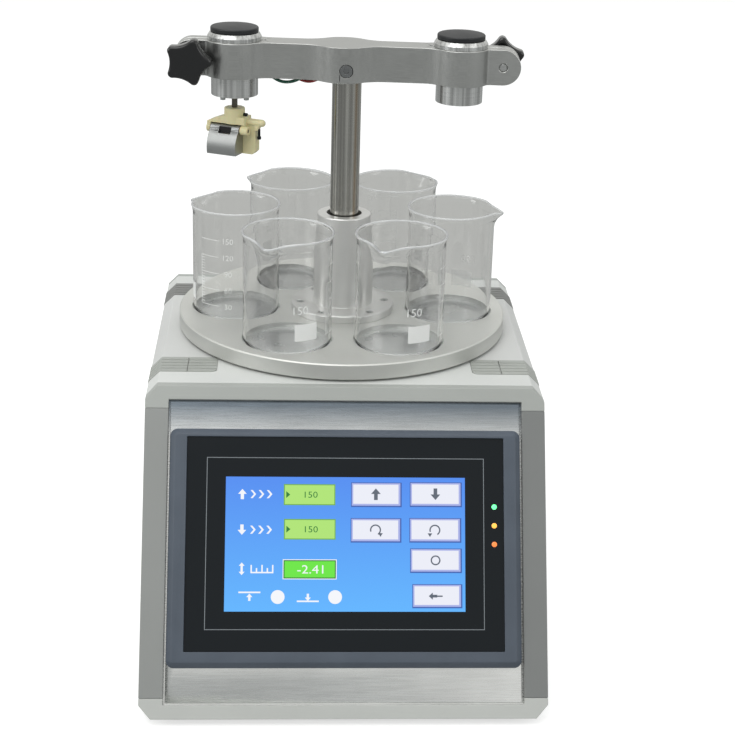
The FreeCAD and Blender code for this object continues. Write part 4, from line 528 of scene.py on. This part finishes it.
# The ink's layers stand 0.04 mm apart over the screen.
LAYERS = [SCREEN_FACE - 0.04 * k for k in range(5)]
fields = ((-39.9, -6.7, 135.3, 148.9), (-39.6, -6.4, 113.3, 126.5))
keys = ((3.9, 35.2, 135.2, 149.7), (41.8, 74.2, 135.4, 150.0), (3.7, 35.0, 112.4, 126.7),
        (41.5, 73.7, 112.5, 126.9), (42.0, 74.0, 93.1, 107.4), (43.4, 74.2, 70.7, 84.6))
readout = (-40.1, -5.6, 88.0, 100.7)
for name, spots, inset, layer, ink in (
        ("key_shadows", keys, (-0.5, 0.9, -0.9, 0.5), 1, shadow_ink),
        ("key_rims", keys, (0, 0, 0, 0), 2, lavender_ink),
        ("keys", keys, (0.9, -1.2, 1.2, -0.9), 3, key_ink),
        ("field_rims", fields, (0, 0, 0, 0), 1, green_edge_ink),
        ("fields", fields, (0.7, -0.7, 0.7, -0.7), 2, yellow_green_ink),
        ("readout_rim", (readout,), (0, 0, 0, 0), 1, white_ink),
        ("readout_edge", (readout,), (0.5, -0.5, 0.5, -0.5), 2, deep_green_ink),
        ("readout", (readout,), (1.2, -1.2, 1.2, -1.2), 3, bright_green_ink)):
    flat_piece("screen_" + name, [block(*np.add(spot, inset)) for spot in spots], LAYERS[layer], ink)
flat_piece("screen_field_marks", [[(a + 1.6, (c + d) / 2 - 2.2), (a + 4.2, (c + d) / 2),
                                   (a + 1.6, (c + d) / 2 + 2.2)] for a, b, c, d in fields],
           LAYERS[3], deep_green_ink)
for k, (a, b, c, d) in enumerate(fields):
    figures_on_slope("screen_field_figures_%d" % (k + 1), "150", 4.0, (a + b) / 2 + 1.0, (c + d) / 2,
                     LAYERS[3], deep_green_ink, 1.15)
a, b, c, d = readout
figures_on_slope("screen_readout_figures", "-2.41", 5.4, (a + b) / 2 + 0.4, (c + d) / 2, LAYERS[4],
                 white_ink, 1.2)

key_marks = [arrow(19.4, 142.6, 7.5, 0), arrow(57.9, 142.8, 7.5, 180)]
for u, flip in ((19.2, 1), (57.5, -1)):
    key_marks.append(ring_arc(u, 119.6, 3.6, 0.9, -60, 200))
    tip = u + flip * 3.2
    key_marks.append([(tip - 1.5, 117.6), (tip + 1.5, 117.6), (tip, 115.2)])
key_marks += [ring_arc(57.9, 100.3, 3.2, 0.9, 0, 360, 24), block(55.0, 62.4, 77.0, 77.9),
              arrow(56.2, 77.5, 5.5, 90)]
flat_piece("screen_key_marks", key_marks, LAYERS[4], dark_ink)

label_marks = []
for low, turn in ((142.3, 0), (119.5, 180)):
    label_marks.append(arrow(-66.4, low, 6.6, turn))
    label_marks += [[(u - 2.0, low - 2.6), (u - 0.6, low - 2.6), (u + 1.6, low), (u - 0.6, low + 2.6),
                     (u - 2.0, low + 2.6), (u + 0.2, low)] for u in (-59.2, -54.0, -48.8)]
label_marks += [arrow(-66.2, 96.4, 4.4, 0), arrow(-66.2, 92.8, 4.4, 180), block(-60.6, -46.0, 91.8, 92.7)]
label_marks += [block(u, u + 0.9, 92.7, 92.7 + tall) for u, tall in
                ((-60.6, 4.4), (-57.2, 2.4), (-53.7, 4.4), (-50.3, 2.4), (-46.9, 4.4))]
for u, turn, bar in ((-61.1, 0, 79.2), (-23.9, 180, 73.6)):
    label_marks += [block(u - 7.0, u + 7.0, bar, bar + 1.0), arrow(u, 76.6, 4.6, turn)]
flat_piece("screen_label_marks", label_marks, LAYERS[1], white_ink)
flat_piece("screen_limit_lamps", [[(u + 4.4 * math.cos(t), 76.8 + 4.4 * math.sin(t)) for t in angle]
                                  for u in (-43.1, -6.5)], LAYERS[1], white_ink)

line_ink = moulded("printed_white_line", "#7c8286", 0.5, 0.4, 0.004)
flat_piece("glass_frame_line", frame_line(-89.4, 89.4, 56.0, 166.0, 0.45), GLASS_FACE - 0.02, line_ink)

# Rear: a painted frame and a vented steel panel, held by zinc plated screws. The mains inlet and its rocker
# switch are black nylon mouldings, pressed into openings of the panel.
zinc_plate = brushed("zinc_plated_steel", "#b9bcbb", (0, 0, 1), 0.3, 0.5, spread=0.06)
inlet_black = moulded("moulded_black_nylon", "#232427", 0.42, 0.6)
dressed("rear_frame", powder_coat("painted_rear_frame_grey", "#a4a8a3", 0.4, 1.0), 0.5)
dressed("rear_panel", pale_coat, 0.3)
dressed("panel_screws", zinc_plate, 0.2)
dressed("power_entry", inlet_black, 0.3)
dressed("power_rocker", moulded("moulded_black_rocker", "#17181a", 0.3, 0.6), 0.3)

# Inside the case: plates, rods, bushings, drives and boards of the lift and the turntable. They show only
# through the vents, and have their shop finishes.
milled_plate = brushed("milled_aluminium_plate", "#c9cbcc", (1, 0, 0), 0.4, 0.6)
bearing_steel = brushed("ground_bearing_steel", "#a5a7a6", (0, 0, 1), 0.22, 0.4)
bronze = brushed("turned_tin_bronze", "#b98a52", (1, 1, 0), 0.32, 0.4)
motor_black = powder_coat("enamelled_motor_black", "#1c1d1f", 0.45, 0.9)
green_board = moulded("solder_masked_board_green", "#1c5a34", 0.35, 0.8)
for node, material in (
        ("lift_plates", milled_plate), ("lift_rods", bearing_steel), ("lift_bushings", bronze),
        ("lift_motor", motor_black), ("limit_switches", inlet_black), ("tray_bearing", bearing_steel),
        ("tray_motor", zinc_plate), ("power_supply", zinc_plate), ("control_board", green_board),
        ("tray_pinion", bronze), ("lead_screw", bearing_steel), ("lift_carriage", milled_plate),
        ("spindle_motor", zinc_plate), ("tray_hub", bearing_steel)):
    dressed(node, material)


# Turntable: an 11 mm aluminium disc, faced on the lathe, bored for six beakers and satin anodised. The sleeve
# round the column is turned from bar with its flange and held by six screws.
BLAST_GRAIN = 0.35


def anodised(name, colour, roughness):
    """Satin anodised aluminium. A fine noise of the blasted grain's size gives its sparkle and soft gloss."""
    material, tree = new_tree(name)
    place = add_node(tree, "ShaderNodeTexCoord").outputs["Object"]
    blast = noise(tree, place, 1000 / BLAST_GRAIN, 2.0)
    cloud = noise(tree, place, 26.0, 3.0)
    tone = ranged(tree, reckoned(tree, "ADD", blast, cloud), 0.7, 1.3, 0.95, 1.05)
    coated(tree, {"Base Color": mixed(tree, 1.0, linear(colour), tone, "MULTIPLY"), "Metallic": 0.85,
                  "Roughness": ranged(tree, cloud, LOW, HIGH, roughness - 0.05, roughness + 0.05),
                  "Normal": relief(tree, blast, 0.004, 0.6)})
    return material


def second_finish(piece, material, chosen):
    """Gives the faces whose middles, in mm, pass a test a second material."""
    middles = np.empty(len(piece.data.polygons) * 3)
    piece.data.polygons.foreach_get("center", middles)
    piece.data.materials.append(material)
    picked = chosen(middles.reshape(-1, 3) / MM)
    piece.data.polygons.foreach_set("material_index", picked.astype(np.int32))


RECESS_FLOOR = 196.8
FLOOR_NEAR = 0.05
disc = dressed("tray_disc", anodised("satin_anodised_aluminium_disc", "#d3d4d0", 0.5), 0.1)
second_finish(disc, anodised("machined_recess_floor", "#dcdedd", 0.3),
              lambda at: np.abs(at[:, 2] - RECESS_FLOOR) < FLOOR_NEAR)
dressed("tray_sleeve", anodised("satin_anodised_aluminium_sleeve", "#d9d9d7", 0.36), 0.25)
dressed("sleeve_screws", zinc_plate, 0.15)

# Beakers: six low form 150 ml vessels of borosilicate glass, blown in a mould, with a rounded foot, a fire
# polished rim and a drawn spout. White enamel scale, figure and writing patch are fired on.
AXIS_Y = 57.0
BEAKER_FOOT = 196.9
BEAKER_HEIGHT = 80.0
BEAKER_RADIUS = 30.0
WALL = 1.5
FLARE = 1.2
PITCH_RADIUS = 75.5
places = [(PITCH_RADIUS * math.cos(math.radians(60 * k - 1)),
           AXIS_Y + PITCH_RADIUS * math.sin(math.radians(60 * k - 1))) for k in range(6)]
SPOUT_TURNS = (-3.0, 42.0, 155.0, 150.0, 247.0, 247.0)
SPOUT_OUT = 5.1
SPOUT_DROP = 12.5
SPOUT_HALF = 0.2
PINCH = 0.5
PINCH_AT = 0.45
PINCH_HALF = 0.18
DIP_START = 25.0
DIP_SLOPE = 0.28
GLASS_INDEX = 1.47

borosilicate, tree = new_tree("blown_borosilicate_glass")
place = add_node(tree, "ShaderNodeTexCoord").outputs["Object"]
ripple = relief(tree, noise(tree, place, 40.0, 1.0), 0.3, 0.25)
glass = add_node(tree, "ShaderNodeBsdfPrincipled", {"Base Color": linear("#fefefe"), "Roughness": 0.0,
                                                    "IOR": GLASS_INDEX, "Transmission Weight": 1.0,
                                                    "Normal": ripple})
rays = add_node(tree, "ShaderNodeLightPath")
clear = add_node(tree, "ShaderNodeBsdfTransparent", {"Color": linear("#f6f7f7")})
surface = add_node(tree, "ShaderNodeMixShader", {0: rays.outputs["Is Shadow Ray"], 1: glass.outputs[0],
                                                 2: clear.outputs[0]})
add_node(tree, "ShaderNodeOutputMaterial", {"Surface": surface.outputs[0]})


def fired_enamel(name, cover):
    """White enamel fired on glass. The cover is how much of the glass it hides."""
    material, tree = new_tree(name)
    coated(tree, {"Base Color": linear("#f0f1ee"), "Roughness": 0.5, "Alpha": cover})
    return material


enamel = fired_enamel("fired_white_enamel", 0.88)
worn_enamel = fired_enamel("worn_white_enamel", 0.32)

# Part of the bead's glass is white diffuse: a painted highlight that makes the rim a bright line.
rim_highlight_glass, tree = new_tree("fire_polished_glass_rim_painted_highlight")
coated(tree, {"Base Color": linear("#f4f6f6"), "Roughness": 0.12, "IOR": GLASS_INDEX,
              "Transmission Weight": 0.6})


def smooth(x):
    """A smooth step from 0 to 1."""
    x = np.clip(x, 0, 1)
    return x * x * (3 - 2 * x)


FOOT_ROUND = 6.0
FLOOR = 2.0
LIP = 7.0
BEAD = 0.95


def section(radius, height):
    """Points of a section, from their radii and heights in mm."""
    return np.stack(np.broadcast_arrays(radius, height), axis=1)


def beaker_profile():
    """Radius and height along the wall's section: out along the foot, up the outside, over the bead of the
    rim, down the inside and back along the floor."""
    inside = BEAKER_RADIUS - WALL
    turn = np.linspace(0, np.pi / 2, 9)
    rise = np.linspace(FOOT_ROUND, BEAKER_HEIGHT - LIP, 22)[1:]
    lip = np.linspace(0, 1, 8)[1:]
    bead = np.linspace(0.15 * np.pi, np.pi, 8)
    round_in = FOOT_ROUND - WALL
    return np.concatenate([
        np.array([[0.0, 0.6], [12.0, 0.5], [20.0, 0.1], [23.0, 0.0]]),
        section(BEAKER_RADIUS - FOOT_ROUND + FOOT_ROUND * np.sin(turn),
                FOOT_ROUND - FOOT_ROUND * np.cos(turn)),
        section(BEAKER_RADIUS, rise),
        section(BEAKER_RADIUS + FLARE * lip ** 2, BEAKER_HEIGHT - LIP + 6.0 * lip),
        section(BEAKER_RADIUS + FLARE - BEAD + BEAD * np.cos(bead - 0.15),
                BEAKER_HEIGHT - 0.9 + 0.9 * np.sin(bead)),
        section(inside + FLARE * 0.9 * lip[::-1] ** 2, BEAKER_HEIGHT - 8 + 6.5 * lip[::-1]),
        section(inside, rise[::-1]),
        section(inside - round_in + round_in * np.sin(turn[::-1]),
                FLOOR + round_in - round_in * np.cos(turn[::-1])),
        np.array([[20.0, FLOOR], [10.0, 2.3], [0.0, 2.4]])])


# The bead of the rim takes up these rows of cells.
RIM_ROWS = (40, 48)
COLUMNS = 216


def beaker_surface(k):
    """The section carried round. Over the top 12.5 mm a bell-shaped bump in the angle grows smoothly up to
    the rim and draws the spout out. A shallow hollow pinches the rim in at each side of it, and the rim
    slopes down to it."""
    profile = beaker_profile()
    angle = np.linspace(-np.pi, np.pi, COLUMNS, endpoint=False)
    radius, height = profile[:, :1], profile[:, 1:]
    taper = smooth((height - BEAKER_HEIGHT + SPOUT_DROP) / SPOUT_DROP)
    draw = np.exp(-(angle / SPOUT_HALF) ** 2)
    pinch = np.exp(-((np.abs(angle) - PINCH_AT) / PINCH_HALF) ** 2)
    radius = radius + taper * (SPOUT_OUT * draw - PINCH * pinch)
    height = height - taper * DIP_SLOPE * np.maximum(radius * np.cos(angle) - DIP_START, 0)
    turned_by = angle + math.radians(SPOUT_TURNS[k])
    return np.stack([places[k][0] + radius * np.cos(turned_by), places[k][1] + radius * np.sin(turned_by),
                     BEAKER_FOOT + np.broadcast_to(height, radius.shape)], axis=-1) * MM


PRINT_PROUD = 0.06


def on_glass(k, turn, across, height):
    """Points printed on a beaker, from mm round the wall and mm above the foot. Turn 0 faces the front."""
    angle = math.radians(turn - 90) + across / BEAKER_RADIUS
    radius = BEAKER_RADIUS + PRINT_PROUD
    return np.stack([places[k][0] + radius * np.cos(angle), places[k][1] + radius * np.sin(angle),
                     BEAKER_FOOT + height], axis=-1) * MM


def strip(across0, across1, low, high, count):
    """A band on the wall as a grid of cells, so that it follows the curve."""
    across, height = np.meshgrid(np.linspace(across0, across1, count + 1), np.array([low, high]))
    first = np.arange(count)
    cells = np.stack([first, first + 1, first + count + 2, first + count + 1], axis=1)
    return np.stack([across.ravel(), height.ravel()], axis=1), cells.tolist()


# The print, in mm on the wall: the writing patch with its figure over it, and the scale beside them.
PATCH_TURNS = (156.0, 140.0, 210.0, -82.6, 25.0, 24.0)
PATCH = (-8.1, 8.1, 12.4, 24.2)
PATCH_FIGURE = ("150", 5.6, -4.0, 33.8)
ML = 11.85 / 30
THIRTY_ML = 12.6
SCALE_TURN = 33.0
LINE = 0.42
LONG_MARK = 15.0
SHORT_MARK = 3.2
FIGURE_TALL = 3.9
FIGURE_OFF = 21.5
for k in range(6):
    body = "beaker_%d" % (k + 1)
    vessel = round_mesh(body + "_glass", beaker_surface(k), borosilicate, body, math.radians(80))
    row = np.arange(len(vessel.data.polygons)) // COLUMNS
    on_rim = (row >= RIM_ROWS[0]) & (row < RIM_ROWS[1])
    # The bead's rows take the rim glass with its painted highlight.
    vessel.data.materials.append(rim_highlight_glass)
    vessel.data.polygons.foreach_set("material_index", on_rim.astype(np.int32))
    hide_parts("beaker_%d" % (k + 1))
    scale_at = math.radians(SCALE_TURN) * BEAKER_RADIUS
    marks = [strip(*PATCH, 12), strip(scale_at, scale_at + LINE, THIRTY_ML, THIRTY_ML + 90 * ML, 1)]
    for volume in range(30, 155, 5):
        level = THIRTY_ML + (volume - 30) * ML
        long = volume % 30 == 0
        if volume <= 120 or long:
            reach, cells = (LONG_MARK, 8) if long else (SHORT_MARK, 2)
            marks.append(strip(scale_at, scale_at + reach, level, level + LINE, cells))
    figures = [PATCH_FIGURE]
    for volume in range(30, 155, 30):
        figures.append((str(volume), FIGURE_TALL, scale_at + FIGURE_OFF, THIRTY_ML + (volume - 30) * ML))
    for text, tall, across, level in figures:
        points, polygons = lettering(text, tall)
        marks.append((points + np.array([across, level]), polygons))
    points = np.concatenate([mark[0] for mark in marks])
    offsets = np.cumsum([0] + [len(mark[0]) for mark in marks])
    polygons = [[corner + offset for corner in polygon] for mark, offset in zip(marks, offsets)
                for polygon in mark[1]]
    placed(body + "_print", on_glass(k, PATCH_TURNS[k], points[:, 0], points[:, 1]).tolist(), polygons,
           worn_enamel if k < 3 else enamel, body)


# Column: a 20 mm shaft of hardened steel, ground and polished. Its marks run round it, so what it reflects
# is drawn out into long upright streaks.
WARM_BAND_HALF = 1.6


def turned_metal(name, colour, roughness, line, stretch=0.7, streaks=(0.95, 1.05), warm_band=None):
    """Turned or ground metal on an upright axis. Rings one line wide in mm come from a noise that varies only
    with height, streaks 2 mm wide from one that varies only round the axis, and the anisotropic gloss draws
    reflections out along it. A warm band is a warmer, darker upright stripe about a place across in mm."""
    material, tree = new_tree(name)
    place = add_node(tree, "ShaderNodeTexCoord").outputs["Object"]
    rings = stretched_noise(tree, place, (8.0, 8.0, 1000 / line), 2.0)
    tone = ranged(tree, stretched_noise(tree, place, (500.0, 500.0, 2.0), 2.0), 0.35, 0.65, *streaks)
    tint = mixed(tree, 1.0, linear(colour), tone, "MULTIPLY")
    if warm_band is not None:
        across = add_node(tree, "ShaderNodeSeparateXYZ", {0: place}).outputs["X"]
        apart = reckoned(tree, "ABSOLUTE", reckoned(tree, "SUBTRACT", across, warm_band * MM))
        band = ranged(tree, apart, 0.0, WARM_BAND_HALF * MM, 0.7, 0.0)
        tint = mixed(tree, band, tint, linear("#9a8468"))
    round_axis = add_node(tree, "ShaderNodeTangent", direction_type="RADIAL", axis="Z")
    coated(tree, {"Base Color": tint, "Metallic": 1.0, "Anisotropic": stretch, "Anisotropic Rotation": 0.25,
                  "Roughness": ranged(tree, rings, LOW, HIGH, roughness - 0.04, roughness + 0.05),
                  "Tangent": round_axis.outputs[0], "Normal": relief(tree, rings, 0.002, 0.4)})
    return material


def in_frame(radius, angle, height, where):
    """Points at radii, angles and heights in mm round a frame's Z axis, to metres in the part's frame."""
    local = np.stack([radius * np.cos(angle), radius * np.sin(angle), np.broadcast_to(height, radius.shape)],
                     axis=-1)
    return (local @ np.array(where.to_3x3()).T + np.array(where.translation)) * MM


def turned(name, profile, where, material, body, count=128):
    """A turned piece: a profile of (radius, height) in mm is carried round the Z axis of a frame. The outside
    runs upwards."""
    profile = np.array(profile, float)
    angle = np.linspace(0, 2 * np.pi, count, endpoint=False)
    radius = np.repeat(profile[:, :1], count, axis=1)
    return round_mesh(name, in_frame(radius, angle, profile[:, 1:], where), material, body)


shaft_steel = turned_metal("ground_hardened_steel", "#a6a5a0", 0.2, 0.3, 0.7, (0.6, 1.4), 6.4)
shaft = turned("column_shaft", [(0, 103.0), (9.6, 103.0), (10.0, 103.4), (10.0, 385.6), (9.6, 386.0),
                                (0, 386.0)], Matrix.Translation((0, AXIS_Y, 0)), shaft_steel, "lift")
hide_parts("column")

# Arm: one aluminium forging, milled all round and hand brushed, with the hub, two bars, two split rings and
# their ears. An oiled steel screw clamps the hub on the column, and zinc plated ones hold the motor.
arm_metal = brushed("milled_brushed_aluminium_arm", "#b7b8b6", (1, 0, 0), 0.36, 0.45)
dressed("arm", arm_metal, 0.35, 2, flats=False)
# The black oxide screw steel is given a pale grey, a painted sheen, so the hub screw's rim and hex show
# light.
arm_screws = dressed("arm_screws", brushed("oiled_black_screw_steel_painted_sheen", "#8c8e8f", (0, 0, 1), 0.3, 0.4), 0.2)
MOTOR_SCREWS_TOP = 357.0
second_finish(arm_screws, zinc_plate, lambda at: at[:, 2] < MOTOR_SCREWS_TOP)

# Heads: two aluminium cups turned on the lathe, with a bevelled flange, closed by domed black caps of moulded
# nylon. The left cup holds the spindle's motor.
cup_metal = turned_metal("turned_aluminium_cup", "#c6c7c6", 0.3, 0.35, 0.6, (0.76, 1.3))
dressed("housing_left", cup_metal, 0.3)
dressed("housing_right", cup_metal, 0.3)
dressed("head_caps", moulded("moulded_black_cap", "#17191c", 0.46, 0.6, 0.02), 0.9, 4)

# Star knobs: five pointed lobes, compression moulded in glossy black phenolic on a steel stud. The left one
# faces the front and the right one the back.
ARM_FRAME = Matrix.Translation((0, AXIS_Y, 0)) @ Matrix.Rotation(math.radians(-3.7), 4, "Z")
EAR_X = 105.4
ARM_MIDDLE = 378.05
phenolic = moulded("moulded_gloss_phenolic", "#090a0c", 0.2, 0.8, 0.006, coat=0.3)
stud_steel = turned_metal("cut_steel_stud", "#c2c3c2", 0.25, 0.4)
KNOB_TIP = 15.9
KNOB_VALLEY = 12.0
LOBE_ROUND = 3.0


def star_radius(angle):
    """The star's outline as a radius. Each lobe is an arc round a point near its tip, and each valley an arc
    that touches the two lobes beside it."""
    half = math.pi / 5
    lobe_at = KNOB_TIP - LOBE_ROUND
    top = lobe_at ** 2 + KNOB_VALLEY ** 2 - 2 * lobe_at * KNOB_VALLEY * math.cos(half) - LOBE_ROUND ** 2
    hollow = top / (2 * (LOBE_ROUND + lobe_at * math.cos(half) - KNOB_VALLEY))
    hollow_at = KNOB_VALLEY + hollow
    share = LOBE_ROUND / (LOBE_ROUND + hollow)
    touch = math.atan2(hollow_at * math.sin(half) * share,
                       lobe_at + (hollow_at * math.cos(half) - lobe_at) * share)
    off = np.abs((angle + half) % (2 * half) - half)
    lobe = np.sqrt(np.maximum(LOBE_ROUND ** 2 - (lobe_at * np.sin(off)) ** 2, 0))
    valley = np.sqrt(np.maximum(hollow ** 2 - (hollow_at * np.sin(half - off)) ** 2, 0))
    return np.where(off < touch, lobe_at * np.cos(off) + lobe, hollow_at * np.cos(half - off) - valley)


def star_surface(turn, where):
    """The star's outline carried through the knob's thickness, from its boss to its face. Each row has a
    share, a round and a height. Its radius is that share of the outline, and the round added to it."""
    rows = np.array([(0.0, 0.0, 26.8), (0.4, 0.0, 26.8), (0.78, 0.0, 26.75), (0.88, 0.0, 26.65),
                     (0.93, 0.0, 26.4), (0.965, 0.0, 26.0), (0.99, 0.0, 25.5), (1.0, 0.0, 24.9),
                     (1.0, 0.0, 17.7), (0.99, 0.0, 17.1), (0.965, 0.0, 16.6), (0.93, 0.0, 16.2),
                     (0.88, 0.0, 15.9), (0.8, 0.0, 15.8), (0.0, 7.0, 15.8), (0.0, 7.0, 8.6), (0.0, 6.6, 8.2),
                     (0.0, 0.0, 8.2)])[::-1]
    angle = np.linspace(0, 2 * np.pi, 240, endpoint=False)
    radius = rows[:, :1] * star_radius(angle - math.radians(turn)) + rows[:, 1:2]
    return in_frame(radius, angle, rows[:, 2:], where)


for side, name, facing, turn in ((-1, "left", 90, 0.6), (1, "right", -90, -18.0)):
    where = (ARM_FRAME @ Matrix.Translation((side * EAR_X, 0, ARM_MIDDLE))
             @ Matrix.Rotation(math.radians(facing), 4, "X"))
    body = "knob_" + name
    knob = round_mesh(body + "_star", star_surface(turn, where), phenolic, body, math.radians(50))
    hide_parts("knob_" + name)
    stud = turned(body + "_stud", [(0, -7.5), (2.2, -7.5), (2.95, -6.9), (2.95, 9.0), (0, 9.0)], where,
                  stud_steel, body, 48)
    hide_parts("knob_" + name)

# Motor leads: two PVC insulated leads in the channel under the arm's left half, each with one short sag.
# They leave the left cup and go back into the column.
ARM_BOTTOM = 366.0
LEAD_DIAMETER = 2.2
green_route = ((-60.45, 2.4), (-52.6, 0.7), (-45.2, -4.0), (-36.6, -3.7), (-28.4, 1.0), (-19.6, 3.1),
               (-10.05, 2.7))
red_route = ((-60.45, 3.3), (-51.0, 3.7), (-41.6, 2.7), (-33.8, -1.8), (-26.0, -4.2), (-18.4, -1.2),
             (-10.05, 2.3))
for name, route, y, length, colour in (("green", green_route, -1.5, 52.89, "#12523f"),
                                       ("red", red_route, 1.5, 52.86, "#8e1d1a")):
    curve = bpy.data.curves.new("lead_%s_pvc" % name, "CURVE")
    curve.dimensions = "3D"
    curve.bevel_depth = LEAD_DIAMETER / 2 * MM
    curve.bevel_resolution = 5
    curve.use_fill_caps = True
    spline = curve.splines.new("NURBS")
    spline.points.add(len(route) - 1)
    for point, (x, z) in zip(spline.points, route):
        point.co = (*(ARM_FRAME @ Vector((x, y, ARM_BOTTOM + z)) * MM), 1.0)
    spline.order_u = 3
    spline.use_endpoint_u = True
    spline.resolution_u = 12
    curve.materials.append(moulded("pvc_insulation_" + name, colour, 0.3, 0.8, 0.004))
    lead = bpy.data.objects.new(curve.name, curve)
    scene.collection.objects.link(lead)
    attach(lead, "lift")
    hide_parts("lead_" + name)

# Sample clamp: a cream resin body on the spindle's shaft, and a small aluminium jaw that swings on a steel
# pin to grip the substrate. The resin is a little translucent and faintly layered.
resin, tree = new_tree("cast_cream_resin")
place = add_node(tree, "ShaderNodeTexCoord").outputs["Object"]
layers = stretched_noise(tree, place, (60.0, 60.0, 1800.0), 2.0)
tint = mixed(tree, noise(tree, place, 140.0, 3.0), linear("#cec494"), linear("#dfd8ae"))
coated(tree, {"Base Color": tint, "Roughness": 0.42, "IOR": 1.5, "Subsurface Weight": 0.12,
              "Subsurface Scale": 1.2 * MM, "Normal": relief(tree, layers, 0.03, 0.5)})
dressed("clamp_body", resin, 0.3, 3)
SPINDLE_X = -76.34
SPINDLE_Y = 61.94
CLAMP_TURN = math.radians(-24)
SPINDLE_REACH = 2.3
HUB_FOOT = 334.0
# A band of the jaw's face is painted black: painted shade for the shadowed gap between jaw and body.
SHADE_PATCH_FACE = -7.1
SHADE_PATCH_NEAR = 0.06
SHADE_PATCH_ENDS = (-8.1, 1.1)
SHADE_PATCH_MIDDLE = 328.5
SHADE_PATCH_HALF = 2.2
black_oxide = brushed("black_oxide_steel", "#2b2c2e", (0, 0, 1), 0.36, 0.4, metallic=0.8)
pins = dressed("clamp_pins", black_oxide, 0.12)
jaw = dressed("clamp_jaw", brushed("milled_aluminium_jaw", "#a9abaa", (1, 0, 0), 0.36, 0.4), 0.25)


def on_spindle(at):
    """Whether places in mm are on the spindle's shaft, above the clamp's foot."""
    return (np.hypot(at[:, 0] - SPINDLE_X, at[:, 1] - SPINDLE_Y) < SPINDLE_REACH) & (at[:, 2] > HUB_FOOT)


def on_pad(at):
    """Whether places in mm are on the jaw's face where its black painted shade goes, in the frame turned with
    the clamp.
    """
    x, y = at[:, 0] - SPINDLE_X, at[:, 1] - SPINDLE_Y
    along = x * math.cos(CLAMP_TURN) + y * math.sin(CLAMP_TURN)
    inwards = y * math.cos(CLAMP_TURN) - x * math.sin(CLAMP_TURN)
    return ((np.abs(inwards - SHADE_PATCH_FACE) < SHADE_PATCH_NEAR) & (along > SHADE_PATCH_ENDS[0]) & (along < SHADE_PATCH_ENDS[1])
            & (np.abs(at[:, 2] - SHADE_PATCH_MIDDLE) < SHADE_PATCH_HALF))


second_finish(pins, turned_metal("turned_spindle_steel", "#68655e", 0.3, 0.3, 0.6, (0.7, 1.2)), on_spindle)
# Black painted shade on the jaw's face.
second_finish(jaw, moulded("black_painted_shade_on_jaw", "#0a0a0c", 0.55, 0.5), on_pad)
